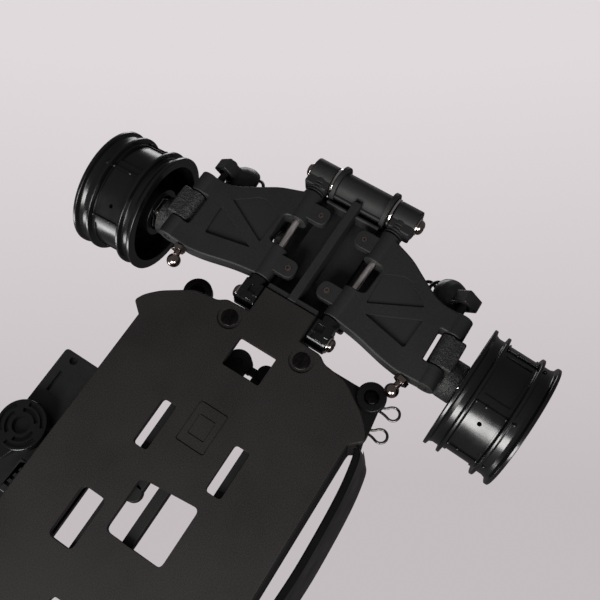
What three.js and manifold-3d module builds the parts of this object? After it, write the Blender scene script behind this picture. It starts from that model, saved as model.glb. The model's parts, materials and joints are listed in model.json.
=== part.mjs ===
// Mini-class radio-control car chassis: a moulded tub with wishbone suspension at both ends,
// bare rims, coil-over dampers, a steering servo and a front drive unit.  Millimetres, +Z up.
// Row frame: +X is the front of the car, +Y its left, origin on the ground under the middle.
// Each end is drawn once in its own frame (x towards the middle of the car, origin under the
// axle) and placed at the rear as drawn and at the front turned half round.
import * as THREE from 'three';
import { mergeVertices } from 'three/addons/utils/BufferGeometryUtils.js';
import Module from 'manifold-3d';

const wasm = await Module();
wasm.setup();

// ---- driving dimensions -------------------------------------------------------------------
const WHEELBASE = 225;
const RIM_R = 22;                 // flange radius; the car stands on its bare rims
const RIM_W = 24;
const RIM_IN = 60.3;              // inner flange, from the car's centre plane along the axle
const FLOOR = 9;                  // underside of the tub above the ground
const FLOOR_T = 2.5;
const RIM_Z = 35;                 // top of the tub's walls
const DECK_T = 2;
const HALF_W = 40;                // half width of the floor
const CLIP_Z = 37.9;              // body clips lie on the deck
const PIN_Z = 13.2;               // suspension pins above the ground
const PIN_R = 1.2;
const PIN_Y = 15;                 // inner pin from the centre plane, at PIN_MID
const PIN_MID = -13;
const PIN_SLANT = Math.tan(THREE.MathUtils.degToRad(2.5));
const OUTER_PIN_Y = 50.6;          // rear; the front pin lies further in
const FRONT_PIN_Y = 47.4;
const TOE_IN = THREE.MathUtils.degToRad(3);
const GAP = 0.3;
const BORE_R = PIN_R + GAP;
const ARM_Z = [10.2, 16.2];
const BARREL_R = 3.6;
const AXLE_R = 2.5;
const DIFF_X = -4;
const DIFF_Z = 29;
const SHOCK_X = -25;
const SHOCK_LOW = [48.5, 15.8];   // y, z of the lower eye
const SHOCK_TOP = [17, 51];
const SHOCK_LEN = Math.hypot(SHOCK_LOW[0] - SHOCK_TOP[0], SHOCK_TOP[1] - SHOCK_LOW[1]);

// ---- solids ---------------------------------------------------------------------------------
function solid(geometry) {
  geometry.deleteAttribute('normal');
  geometry.deleteAttribute('uv');
  const welded = mergeVertices(geometry, 1e-4);
  const vertProperties = new Float32Array(welded.attributes.position.array);
  const triVerts = new Uint32Array(welded.index.array);
  return new wasm.Manifold(new wasm.Mesh({ numProp: 3, vertProperties, triVerts }));
}

function join(first, ...others) {
  return others.reduce((sum, next) => sum.add(next), first);
}

function cut(base, ...tools) {
  return tools.reduce((left, tool) => left.subtract(tool), base);
}

// a closed outline from points [x, y, fillet]
function outline(points) {
  const shape = new THREE.Shape();
  const at = (i) => new THREE.Vector2(...points[(i + points.length) % points.length].slice(0, 2));
  points.forEach(([, , fillet = 0], i) => {
    const here = at(i);
    if (!fillet) {
      if (i) shape.lineTo(here.x, here.y);
      else shape.moveTo(here.x, here.y);
      return;
    }
    const towards = (j) => here.clone().add(at(j).sub(here).normalize().multiplyScalar(fillet));
    const start = towards(i - 1);
    const end = towards(i + 1);
    if (i) shape.lineTo(start.x, start.y);
    else shape.moveTo(start.x, start.y);
    shape.quadraticCurveTo(here.x, here.y, end.x, end.y);
  });
  shape.closePath();
  return shape;
}

// an outline in XY raised from z0 to z1
function plate(points, z0, z1) {
  const options = { depth: z1 - z0, bevelEnabled: false, curveSegments: 1 };
  return solid(new THREE.ExtrudeGeometry(outline(points), options).translate(0, 0, z0));
}

// an outline in YZ stretched from x0 to x1
function rib(points, x0, x1) {
  const options = { depth: x1 - x0, bevelEnabled: false, curveSegments: 1 };
  const turn = new THREE.Matrix4().makeBasis(
    new THREE.Vector3(0, 1, 0), new THREE.Vector3(0, 0, 1), new THREE.Vector3(1, 0, 0));
  const geometry = new THREE.ExtrudeGeometry(outline(points), options);
  return solid(geometry.applyMatrix4(turn).translate(x0, 0, 0));
}

function block(x0, x1, y0, y1, z0, z1) {
  const geometry = new THREE.BoxGeometry(x1 - x0, Math.abs(y1 - y0), z1 - z0);
  return solid(geometry.translate((x0 + x1) / 2, (y0 + y1) / 2, (z0 + z1) / 2));
}

// round pieces are kept to few facets: the collision solids need no finer ones
const facets = (sides) => Math.max(8, 2 * Math.round(sides * 0.22));

function along(geometry, from, to) {
  const start = new THREE.Vector3(...from);
  const direction = new THREE.Vector3(...to).sub(start).normalize();
  const turn = new THREE.Quaternion().setFromUnitVectors(new THREE.Vector3(0, 1, 0), direction);
  return geometry.applyQuaternion(turn).translate(start.x, start.y, start.z);
}

function rod(from, to, radius, sides = 16) {
  const length = new THREE.Vector3(...from).distanceTo(new THREE.Vector3(...to));
  const geometry = new THREE.CylinderGeometry(radius, radius, length, facets(sides));
  return solid(along(geometry.translate(0, length / 2, 0), from, to));
}

// a turned piece: profile of [radius, distance along the axis]
function turned(profile, from, to, segments = 24) {
  const points = profile.map(([r, d]) => new THREE.Vector2(r, d));
  return solid(along(new THREE.LatheGeometry(points, facets(segments)), from, to));
}

const LOOKS = {
  nylon: { color: 0x262423, roughness: 0.6, metalness: 0 },
  gloss: { color: 0x0c0c0c, roughness: 0.2, metalness: 0 },
  steel: { color: 0xb9b4ae, roughness: 0.22, metalness: 1 },
  spring: { color: 0x1b1b1c, roughness: 0.35, metalness: 0.6 },
  case: { color: 0x1c1c1d, roughness: 0.45, metalness: 0 },
};

function piece(name, body, look) {
  const mesh = body.getMesh();
  const geometry = new THREE.BufferGeometry();
  geometry.setAttribute('position', new THREE.BufferAttribute(mesh.vertProperties, 3));
  geometry.setIndex(new THREE.BufferAttribute(mesh.triVerts, 1));
  const result = new THREE.Mesh(geometry, new THREE.MeshStandardMaterial(LOOKS[look]));
  result.name = name;
  return result;
}

// ---- tub --------------------------------------------------------------------------------------
// half outline of one end of the floor: neck, shoulder and ear, in the end's own frame
const NECK_X = 8.2;
const EAR = [[18.2, 9.8], [18.6, 18, 1], [20.5, 20.8, 1], [21.6, 29.4, 2], [27.8, 38.8, 2],
  [31.8, 42.8, 2], [35, 44.2, 1], [38.4, HALF_W]];

function floorOutline() {
  const half = WHEELBASE / 2;
  const quarter = [[NECK_X, 9.8], ...EAR];
  const rear = (s) => quarter.map(([x, y, r]) => [x - half, s * y, r]);
  const front = (s) => quarter.map(([x, y, r]) => [half - x, s * y, r]);
  return [...rear(1), ...front(1).reverse(), ...front(-1), ...rear(-1).reverse()];
}

// walls over one end: shoulders, neck cheeks and the cross wall behind them
function endWalls(x, turn) {
  const shift = (points) => points.map(([px, py, r]) => [x + turn * px, py, r]);
  const parts = [];
  for (const s of [1, -1]) {
    const shoulder = [[21.8, s * 29.2], [27.9, s * 38.5], [31.9, s * 42.4], [34.9, s * 43.8],
      [37.4, s * HALF_W], [37.4, s * 37.6], [34, s * 41.2], [30, s * 38], [24, s * 28.4]];
    parts.push(plate(shift(shoulder), FLOOR + 1, RIM_Z));
    parts.push(plate(shift([[NECK_X, s * 7.6], [NECK_X, s * 9.8], [20, s * 9.8], [20, s * 7.6]]),
      FLOOR + 1, FLOOR + 20));
  }
  parts.push(plate(shift([[18.6, -18], [20.6, -18], [20.6, 18], [18.6, 18]]), FLOOR + 1, FLOOR + 6));
  return parts;
}

// a bracket with a large and a small round lobe over the window at the rear
function lobedBracket(x) {
  const lobe = (u, v, r) => rod([x + u, v, FLOOR + 7], [x + u, v, FLOOR + 12], r, 24);
  const bar = plate([[31.9, -9], [39, -11], [39, 11], [31.9, 9]].map(([u, v]) => [x + u, v]),
    FLOOR + 8, FLOOR + 10.5);
  const slit = block(x + 34.6, x + 36.2, -1.9, 1.6, FLOOR + 7, FLOOR + 12);
  const posts = [-10, 10].map((v) => rod([x + 37.5, v, FLOOR + 1], [x + 37.5, v, FLOOR + 10], 1.4, 10));
  return cut(join(bar, lobe(33.3, 4.7, 4.6), lobe(32, -5.4, 3.2), ...posts), slit);
}

function tub() {
  const half = WHEELBASE / 2;
  const floor = plate(floorOutline(), FLOOR, FLOOR + FLOOR_T);
  const parts = [...endWalls(-half, 1), ...endWalls(half, -1)];
  const wallX = half - 37.4;
  for (const s of [1, -1]) {
    parts.push(block(-wallX, wallX, s * (HALF_W - 2.4), s * HALF_W, FLOOR + 1, RIM_Z));
  }
  parts.push(block(-62, 40, 10.4, 13.85, FLOOR + 2.2, FLOOR + 6));
  parts.push(block(-62, 40, -17, -13.8, FLOOR + 2.2, FLOOR + 6));
  parts.push(block(40, 42, -38.5, 38.5, FLOOR + 1, FLOOR + 16));
  parts.push(block(-64, -62, -38.5, 38.5, FLOOR + 1, FLOOR + 8));
  parts.push(lobedBracket(-half));
  // a crossbar and a screw lobe over the middle window
  parts.push(block(-37, -12, -2.1, 1.5, FLOOR + 2.2, FLOOR + 6));
  parts.push(block(-36, -29, 5.1, 8.6, FLOOR + 2.2, FLOOR + 5.5));
  parts.push(rod([-27.5, 7.6, FLOOR + 2.2], [-27.5, 7.6, FLOOR + 5.5], 3, 16));
  // through cuts in the floor: window, slots, access openings and screw recesses
  const through = (points) => plate(points, FLOOR - 1, FLOOR + FLOOR_T + 0.01);
  const opening = (u0, u1, y0, y1, r) =>
    through([[u0 - half, y0, r], [u1 - half, y0, r], [u1 - half, y1, r], [u0 - half, y1, r]]);
  const cuts = [opening(27, 37.8, -6.9, 7.1, 0.8), opening(56.5, 72.8, 10.9, 16.3, 1),
    opening(56.5, 72.8, -16.7, -11, 1), through([[-34.3, -13, 2], [-14.5, -13, 2], [-14.5, 7.4, 2], [-32.3, 7.4, 1.5]]),
    opening(91, 108, 12, 21, 2), opening(120, 138, -9, 9, 2), opening(187, 197, -7, 7, 1)];
  for (const s of [1, -1]) {
    cuts.push(rod([23.5 - half, s * 13.9, FLOOR - 1], [23.5 - half, s * 13.9, FLOOR + 1.2], 4.2, 20));
    cuts.push(rod([half - 23.5, s * 13.9, FLOOR - 1], [half - 23.5, s * 13.9, FLOOR + 1.2], 4.2, 20));
  }
  cuts.push(plate([[50.7, -4.8, 0.6], [65, -4.8, 0.6], [65, 5.8, 0.6], [50.7, 5.8, 0.6]]
    .map(([u, y, r]) => [u - half, y, r]), FLOOR - 1, FLOOR + 0.3));
  return join(cut(floor, ...cuts), ...parts);
}

// perimeter frame screwed on top of the tub, with a lobe at each corner
function upperDeck() {
  const half = WHEELBASE / 2;
  const quarter = [[14.5, 30, 1], [14, 41, 3], [30, 43, 2], [37, 40.2, 2]];
  const ends = (s) => [...quarter.map(([x, y, r]) => [x - half, s * y, r]),
    ...quarter.map(([x, y, r]) => [half - x, s * y, r]).reverse()];
  const outer = [...ends(1), ...ends(-1).reverse()];
  const z0 = RIM_Z + GAP;
  const inner = [[-92, 28, 5], [62, 28, 5], [62, -28, 5], [-92, -28, 5]];
  const nose = [[70, 24, 4], [92, 24, 4], [92, -24, 4], [70, -24, 4]];
  const bosses = [];
  for (const x of [15.8 - half, half - 15.8]) {
    for (const s of [1, -1]) bosses.push(rod([x, s * 37, z0 - 2], [x, s * 37, z0 + DECK_T], 5.4, 28));
  }
  return join(cut(plate(outer, z0, z0 + DECK_T), plate(inner, z0 - 1, z0 + 4),
    plate(nose, z0 - 1, z0 + 4)), ...bosses);
}

// tray on the left wall for the receiver
function sideShelf() {
  const x = 59.3 - WHEELBASE / 2;
  const tray = plate([[x, HALF_W + GAP, 0], [x + 24.2, HALF_W + GAP, 0], [x + 24.2, 57.2, 1.5],
    [x, 57.2, 1.5]], 18.6, 20.6);
  const lip = block(x, x + 24.2, HALF_W + GAP, HALF_W + 2, 18.6, 27);
  const hole = (u) => rod([x + u, 52.3, 18], [x + u, 52.3, 19.8], 1.5, 12);
  return cut(join(tray, lip), hole(2.4), hole(21.2), block(x + 7.5, x + 15, 52.8, 54, 18, 19.8));
}

// arched side guard on the right, sloping out from the floor to the deck's height
function sideGuard() {
  // inner edge at the bottom
  const route = [[-83, -35], [-78.5, -39], [-76, -41], [-73.4, -42.7], [-66.5, -44], [-58.4, -44.8],
    [-46.5, -45.3], [-32.5, -45.4], [-17.5, -44.4], [-6.5, -42.4], [-0.5, -40.2]]
    .map(([x, y]) => new THREE.Vector3(x, y, FLOOR + 4));
  const path = new THREE.CatmullRomCurve3(route);
  const steps = 16;
  const band = 2.4;               // thickness of the wall
  const lean = 3.6;               // how far the top stands out
  const height = RIM_Z - FLOOR - 4;
  const positions = [];
  for (let i = 0; i <= steps; i++) {
    const p = path.getPoint(i / steps);
    positions.push([p.x, p.y - band, p.z], [p.x, p.y - band - lean, p.z + height],
      [p.x, p.y - lean, p.z + height], [p.x, p.y, p.z]);
  }
  const index = [];
  for (let i = 0; i < steps; i++) {
    for (let k = 0; k < 4; k++) {
      const a = i * 4 + k;
      const b = i * 4 + ((k + 1) % 4);
      index.push(a, a + 4, b, b, a + 4, b + 4);
    }
  }
  index.push(0, 1, 2, 0, 2, 3);
  const last = steps * 4;
  index.push(last, last + 2, last + 1, last, last + 3, last + 2);
  const geometry = new THREE.BufferGeometry();
  geometry.setAttribute('position', new THREE.Float32BufferAttribute(positions.flat(), 3));
  geometry.setIndex(index);
  const wall = solid(geometry);
  const keep = HALF_W + GAP;
  const ear = [[21, 28], [27.3, 39.4], [31.5, 43.5], [35.3, 45], [39.2, keep], [39.2, 20], [21, 20]]
    .map(([u, y]) => [u - WHEELBASE / 2, -y]);
  return cut(wall, block(-200, 200, -keep, keep, 0, 60), plate(ear, 0, RIM_Z + 1));
}

// hairpin body clip of bent wire, loop outwards
function bodyClip(name, x, y, z) {
  const loop = [[1, 7.4], [0.8, 3.6], [0.75, 0.8], [1, -1], [1.5, -2.9], [0.8, -4.6], [-0.9, -5.3],
    [-2.6, -4.6], [-3.3, -2.9], [-2.6, -1.2], [-1.4, 0], [-0.8, 1.6], [-0.7, 4], [-0.9, 7.4]];
  const points = loop.map(([u, v]) => new THREE.Vector3(x + u, y + v, z));
  const path = new THREE.CatmullRomCurve3(points);
  const circle = new THREE.Shape().absarc(0, 0, 0.5, 0, Math.PI * 2);
  const options = { steps: 26, extrudePath: path, bevelEnabled: false, curveSegments: 2 };
  return piece(name, solid(new THREE.ExtrudeGeometry(circle, options)), 'steel');
}

// ---- suspension end -----------------------------------------------------------------------------
function innerPinPoint(x, s, z = PIN_Z) {
  return [x, s * (PIN_Y - (x - PIN_MID) * PIN_SLANT), z];
}

// lower bulkhead: keel rib, end barrel with rings, cross ribs and the floor joint
function lowerBulkhead() {
  const parts = [block(-36, 8 - GAP, -11, 11, 17.2, 19.4)];
  parts.push(block(-34.8, 7.9, -1.5, 1.5, FLOOR, 17.6));
  parts.push(block(6, 7.9, -9.6, 9.6, FLOOR + 0.6, 17.6));
  const tube = rod([-40, -9.6, 14.4], [-40, 9.6, 14.4], 5.4, 28);
  const rings = [-1, 1].map((s) => rod([-40, s * 9.2, 14.4], [-40, s * 10.9, 14.4], 7.2, 28));
  parts.push(tube, ...rings, block(-37, -34, -9.6, 9.6, 14, 19.4));
  for (const x of [-34.6, -31.4]) {
    for (const s of [1, -1]) parts.push(block(x - 0.7, x + 0.7, s * 1, s * 10.4, 12.6, 17.6));
  }
  return join(...parts);
}

// holder of an inner pin: a lug bolted sideways with a boss round the pin
function pinHolder(s, x0, x1, bossFrom, bossTo, inner, outer, centre, radius) {
  const lug = rod([centre, s * inner, 14.2], [centre, s * outer, 14.2], radius, 20);
  const web = block(x0, x1, s * inner, s * outer, PIN_Z - 3.2, PIN_Z + 3.4);
  const boss = rod(innerPinPoint(bossFrom, s), innerPinPoint(bossTo, s), 3.5, 18);
  const pin = rod(innerPinPoint(-41.5, s), innerPinPoint(14.5, s), BORE_R, 14);
  return cut(join(lug, web, boss), pin);
}

function upperBulkhead(front) {
  const wide = front ? 13 : 11;
  const shell = rib([[-wide, 19.7, 0], [wide, 19.7, 0], [wide, 38, 4], [7, 44, 3], [-7, 44, 3],
    [-wide, 38, 4]], -13.4, 5.5);
  const hollow = rib([[-wide + 2, 18], [wide - 2, 18], [wide - 2, 37, 3], [6, 42, 2], [-6, 42, 2],
    [-wide + 2, 37, 3]], -11.4, 3.5);
  const port = rod([DIFF_X, -20, DIFF_Z], [DIFF_X, 20, DIFF_Z], 5, 20);
  const flange = plate([[-30, -18.5, 2], [6, -18.5, 1], [6, 18.5, 1], [-30, 18.5, 2]], 19.7, 21.5);
  return cut(join(shell, flange), hollow, port);
}

function shockTower() {
  const wings = [[-11, 21.8], [11, 21.8], [12.5, 34, 4], [22, 48, 2], [21, 55.5, 2], [13, 56, 2],
    [6, 47, 4], [-6, 47, 4], [-13, 56, 2], [-21, 55.5, 2], [-22, 48, 2], [-12.5, 34, 4]];
  const studs = [1, -1].map((s) =>
    rod([-14, s * SHOCK_TOP[0], SHOCK_TOP[1]], [-29, s * SHOCK_TOP[0], SHOCK_TOP[1]], 1.5, 12));
  const holes = [1, -1].map((s) => rod([-17, s * 8.5, 40], [-13, s * 8.5, 40], 1.6, 10));
  return join(cut(rib(wings, -16.4, -13.8), ...holes), ...studs);
}

// lower wishbone with two inner barrels, droop-screw tabs, a ribbed recess and two outer ears
function wishbone(s, ears, outerY) {
  const [aftEnd, aftIn, foreIn, foreEnd] = ears;
  const edge = outerY - 4.6;
  const body = [[-30.5, 16.4], [-29, 20, 1], [-26.6, 26.8, 3], [-23.3, 32, 4], [-18.6, 40, 3],
    [aftEnd, 44, 1], [aftEnd, outerY], [aftIn, outerY], [aftIn, edge, 0.8], [foreIn, edge, 0.8],
    [foreIn, outerY], [foreEnd, outerY], [foreEnd + 0.6, 41, 1.5], [9.4, 35.4, 2], [6.8, 24.4, 3],
    [5.4, 14.6], [-7, 15.2], [-7.6, 19, 1.5], [-18.4, 19.6, 1.5], [-19, 16]];
  const mirror = (points) => points.map(([x, y, r]) => [x, s * y, r]);
  const barrel = (x0, x1) => rod(innerPinPoint(x0, s), innerPinPoint(x1, s), BARREL_R, 18);
  const ear = (x0, x1) => rod([x0, s * outerY, PIN_Z], [x1, s * outerY, PIN_Z], BARREL_R, 18);
  const tab = (x, y) => plate(mirror([[x - 3.2, 15], [x - 3.4, y - 3.4, 3], [x + 3.4, y - 3.4, 3],
    [x + 3.2, 15]]), 10.6, 13.6);
  const pocket = (points, top) => plate(mirror(points), 9, top);
  const stud = rod([aftEnd + 1, s * SHOCK_LOW[0], SHOCK_LOW[1]],
    [SHOCK_X - 3.6, s * SHOCK_LOW[0], SHOCK_LOW[1]], 1.4, 12);
  const lug = block(aftEnd, aftEnd + 3, s * 44.5, s * 50.4, 13, 17.6);
  const solidArm = join(plate(mirror(body), ...ARM_Z), barrel(-31, -19), barrel(-7, 5.4),
    ear(aftEnd, aftIn), ear(foreIn, foreEnd), tab(-24.5, 9), tab(-1.8, 8), stud, lug);
  const bores = [rod(innerPinPoint(-34, s), innerPinPoint(9, s), BORE_R, 14),
    rod([-22, s * outerY, PIN_Z], [14, s * outerY, PIN_Z], BORE_R, 14),
    rod([-24.5, s * 8.7, 9], [-24.5, s * 8.7, 15], 1.1, 12),
    rod([-1.8, s * 7.7, 9], [-1.8, s * 7.7, 15], 1.3, 12)];
  const pockets = [pocket([[-9.5, 40], [2.2, 39.2], [-1.2, 22.5]], 11.2),
    pocket([[-13.4, 38.2], [-4.6, 21], [-16.8, 20.6], [-20.4, 29, 2]], 10.8)];
  return cut(solidArm, ...pockets, ...bores);
}

function shockPoint(s, d) {
  const t = d / SHOCK_LEN;
  return [SHOCK_X, s * (SHOCK_LOW[0] + (SHOCK_TOP[0] - SHOCK_LOW[0]) * t),
    SHOCK_LOW[1] + (SHOCK_TOP[1] - SHOCK_LOW[1]) * t];
}

const CUP = 9.5;                  // spring cup above the lower eye
const SEAT = 35.5;                // upper spring seat above the lower eye

function eyeBore(s, d, radius) {
  const [, y, z] = shockPoint(s, d);
  return rod([SHOCK_X - 6, y, z], [SHOCK_X + 6, y, z], radius, 14);
}

function shockRod(s) {
  const low = shockPoint(s, 0);
  const eye = solid(along(new THREE.BoxGeometry(4.8, 7, 7), low, shockPoint(s, SHOCK_LEN)));
  const cup = turned([[0, 2.6], [3.6, 2.6], [5.6, 4.4], [6.9, 6.6], [7.2, 8], [7.2, CUP], [0, CUP]],
    low, shockPoint(s, SHOCK_LEN), 24);
  const shaft = rod(shockPoint(s, 8), shockPoint(s, 31), 1.1, 12);
  return cut(join(eye, cup, shaft), eyeBore(s, 0, 2.5));
}

function shockBody(s) {
  const profile = [[0, 24], [3.4, 24], [4.4, 25.4], [4.4, SEAT + GAP], [6.7, SEAT + GAP],
    [6.7, SEAT + 2.2], [4.8, SEAT + 2.6], [4.8, 42], [3, 43.6], [0, 43.6]];
  const can = turned(profile, shockPoint(s, 0), shockPoint(s, SHOCK_LEN), 24);
  const eye = rod([SHOCK_X - 2.4, ...shockPoint(s, SHOCK_LEN).slice(1)],
    [SHOCK_X + 2.4, ...shockPoint(s, SHOCK_LEN).slice(1)], 3.9, 18);
  const neck = rod(shockPoint(s, 42), shockPoint(s, SHOCK_LEN - 2), 2.4, 12);
  const well = rod(shockPoint(s, 23), shockPoint(s, 40), 1.5, 12);
  return cut(join(can, eye, neck), well, eyeBore(s, SHOCK_LEN, 1.5 + GAP));
}

function coilSpring(s) {
  const turns = 5;
  const wire = 0.65;
  const from = CUP + GAP + wire;
  const to = SEAT - wire;
  const stepsPerTurn = 7;
  const points = [];
  for (let i = 0; i <= turns * stepsPerTurn; i++) {
    const a = (i / stepsPerTurn) * Math.PI * 2;
    const d = from + ((to - from) * i) / (turns * stepsPerTurn);
    points.push(new THREE.Vector3(5.9 * Math.cos(a), d, 5.9 * Math.sin(a)));
  }
  const circle = new THREE.Shape().absarc(0, 0, wire, 0, Math.PI * 2);
  const path = new THREE.CatmullRomCurve3(points);
  const options = { steps: turns * stepsPerTurn, extrudePath: path, bevelEnabled: false, curveSegments: 2 };
  const geometry = new THREE.ExtrudeGeometry(circle, options);
  return solid(along(geometry, shockPoint(s, 0), shockPoint(s, SHOCK_LEN)));
}

// axle frame: distance d from the centre plane along the axle of side s
function axlePoint(s, d, toe) {
  const out = d - RIM_IN;
  return [Math.sin(toe) * out, s * (RIM_IN + Math.cos(toe) * out), RIM_R];
}

function rearUpright(s) {
  const lower = rod([-9.6, s * OUTER_PIN_Y, PIN_Z], [1.6, s * OUTER_PIN_Y, PIN_Z], 3.3, 18);
  const foot = block(-9.6, 1.6, s * 50.6, s * 56, 10, 18);
  const leg = block(-7, 5, s * 51.4, s * 56, 17.4, 30);
  const boss = rod(axlePoint(s, 54.8, TOE_IN), axlePoint(s, 60.2, TOE_IN), 7.2, 24);
  const bearing = rod(axlePoint(s, 48, TOE_IN), axlePoint(s, 62, TOE_IN), AXLE_R + GAP, 18);
  const pin = rod([-12, s * OUTER_PIN_Y, PIN_Z], [4, s * OUTER_PIN_Y, PIN_Z], BORE_R, 14);
  return cut(join(lower, foot, leg, boss), bearing, pin);
}

const KINGPIN_Y = 57;

function carrier(s) {
  const lower = rod([-6.6, s * FRONT_PIN_Y, PIN_Z], [3.6, s * FRONT_PIN_Y, PIN_Z], 3.3, 18);
  const lip = (x0, x1, z0, z1) => plate([[x0, s * 49.2, 0], [x1, s * 49.2, 0], [x1, s * 56.4, 1],
    [2.6, s * 59.7, 1], [-2.6, s * 59.7, 1], [x0, s * 56.4, 1]], z0, z1);
  const bottom = lip(-6, 3.2, 10.2, 12.6);
  const back = block(-6.6, 3.6, s * 49.2, s * 51.2, 10.2, 34);
  const top = lip(-5.6, 5.6, 31.2, 34);
  const window = rod([0, s * 46, RIM_R], [0, s * 54, RIM_R], 4, 18);
  const pin = rod([-12, s * FRONT_PIN_Y, PIN_Z], [9, s * FRONT_PIN_Y, PIN_Z], BORE_R, 14);
  const king = rod([0, s * KINGPIN_Y, 5], [0, s * KINGPIN_Y, 40], 1.8, 14);
  return cut(join(lower, bottom, back, top), pin, window, king);
}

function knuckle(s) {
  const post = rod([0, s * KINGPIN_Y, 10.4], [0, s * KINGPIN_Y, 33.8], 1.5, 14);
  const hub = rod([0, s * 53, RIM_R], [0, s * 60, RIM_R], 6.4, 24);
  const column = block(-4, 4, s * 54, s * 59.6, 13, 30.8);
  const arm = plate([[2, s * 54, 0], [2, s * 59, 0], [15, s * 55, 2], [17, s * 50, 2],
    [13, s * 49.6, 2]], 25, 27.6);
  const bearing = rod([0, s * 50, RIM_R], [0, s * 64, RIM_R], AXLE_R + GAP, 18);
  return cut(join(post, hub, column, arm), bearing);
}

function axleShaft(s, toe) {
  const profile = [[0, 53.6], [AXLE_R, 53.6], [AXLE_R, 61.9], [6.4, 61.9], [6.4, 65.6], [AXLE_R, 65.6],
    [AXLE_R, 77.8], [3.7, 77.8], [3.7, 81.4], [0, 81.4]];
  const shifted = profile.map(([r, d]) => [r, d - RIM_IN]);
  return turned(shifted, axlePoint(s, RIM_IN, toe), axlePoint(s, RIM_IN + 10, toe), 18);
}

// bare rim: bead flanges, two ridges, drop centre, dished web, hexagon socket
function rim(s, toe) {
  const R = RIM_R;
  const profile = [[AXLE_R + GAP, 6], [AXLE_R + GAP, 16.6], [8, 16.6], [18.8, 15], [19.4, RIM_W],
    [R, RIM_W], [R, 22.8], [20.2, 22.4], [20.2, 18.5], [R, 18.3], [R, 17.3],
    [20, 17.2], [20, 6.1], [R, 6], [R, 5], [20.2, 4.8], [20.2, 1.4], [R, 1.2], [R, 0],
    [18.6, 0], [18.6, 12.4], [9, 12.4], [9, 1.7], [6.8, 1.7], [6.8, 6]];
  const closed = [...profile, profile[0]].reverse();
  const from = axlePoint(s, RIM_IN, toe);
  const to = axlePoint(s, RIM_IN + 10, toe);
  return turned(closed, from, to, 40);
}

function ballStud(s, x, y, z) {
  const profile = [[0, 0], [2.6, 0], [2.6, 1.8], [1.2, 2.2], [1.2, 3.2],
    [2.1, 4], [2.4, 5.3], [2.1, 6.6], [1.2, 7.5], [0, 7.8]];
  return turned(profile, [x, y, z], [x + 4, y - s * 0.9, z], 16);
}

// nodes of one end; names use the car's own left and right
function suspensionEnd(end) {
  const front = end === 'front';
  const toe = front ? 0 : TOE_IN;
  const group = new THREE.Group();
  group.position.x = front ? WHEELBASE / 2 : -WHEELBASE / 2;
  group.rotation.z = front ? Math.PI : 0;
  const ears = front ? [-13, -7, 4, 9.6] : [-17.8, -10, 2, 9.6];
  group.add(piece(`${end}_lower_bulkhead`, lowerBulkhead(), 'nylon'));
  group.add(piece(`${end}_upper_bulkhead`, upperBulkhead(front), 'nylon'));
  group.add(piece(`${end}_shock_tower`, shockTower(), 'nylon'));
  for (const s of [1, -1]) {
    const side = (s > 0) !== front ? 'left' : 'right';
    const add = (name, body, look) => group.add(piece(`${end}_${side}_${name}`, body, look));
    if (!front) {
      add('pin_holder_aft', pinHolder(s, -40, -33.2, -40, -31.6, 12.5, 21, -40, 5.4), 'nylon');
      add('pin_holder_fore', pinHolder(s, 8, 13, 5.8, 15, 10.4, 17.4, 13, 3.9), 'gloss');
    }
    add('inner_pin', rod(innerPinPoint(-41, s), innerPinPoint(14, s), PIN_R, 14), 'steel');
    const outer = front ? FRONT_PIN_Y : OUTER_PIN_Y;
    add('wishbone', wishbone(s, ears, outer), 'nylon');
    const pinEnds = [ears[0] + 0.4, ears[3] - 0.4];
    add('outer_pin', rod([pinEnds[0], s * outer, PIN_Z], [pinEnds[1], s * outer, PIN_Z], PIN_R, 12), 'steel');
    add('shock_body', shockBody(s), 'case');
    add('shock_rod', shockRod(s), 'nylon');
    add('spring', coilSpring(s), 'spring');
    add('axle', axleShaft(s, toe), 'steel');
    add('rim', rim(s, toe), 'gloss');
    if (front) {
      add('hub_carrier', carrier(s), 'nylon');
      add('knuckle', knuckle(s), 'nylon');
    } else {
      add('upright', rearUpright(s), 'nylon');
      add('ball_stud', ballStud(s, 10.6, s * 44, 12.2), 'steel');
    }
  }
  return group;
}

// ---- drive and steering -------------------------------------------------------------------------
// differential inside the front bulkhead, with an outdrive cup at each end
function differential() {
  const profile = [[0, -16.5], [3.9, -16.5], [3.9, -9.4], [5.2, -9.2], [5.2, -4.2], [6.9, -4], [6.9, -1],
    [5.4, -0.8], [5.4, 9.2], [3.9, 9.4], [3.9, 16.5], [0, 16.5]];
  const x = WHEELBASE / 2 - DIFF_X;
  const drum = turned(profile, [x, 0, DIFF_Z], [x, 10, DIFF_Z], 24);
  const slot = (s) => block(x - 1.1, x + 1.1, s * 11, s * 18, DIFF_Z - 5, DIFF_Z + 5);
  return cut(drum, slot(1), slot(-1));
}

const SERVO_X = -25;              // output shaft
const SERVO_Y = 51;
const SERVO_Z = 25;               // lower face of the case

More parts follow.
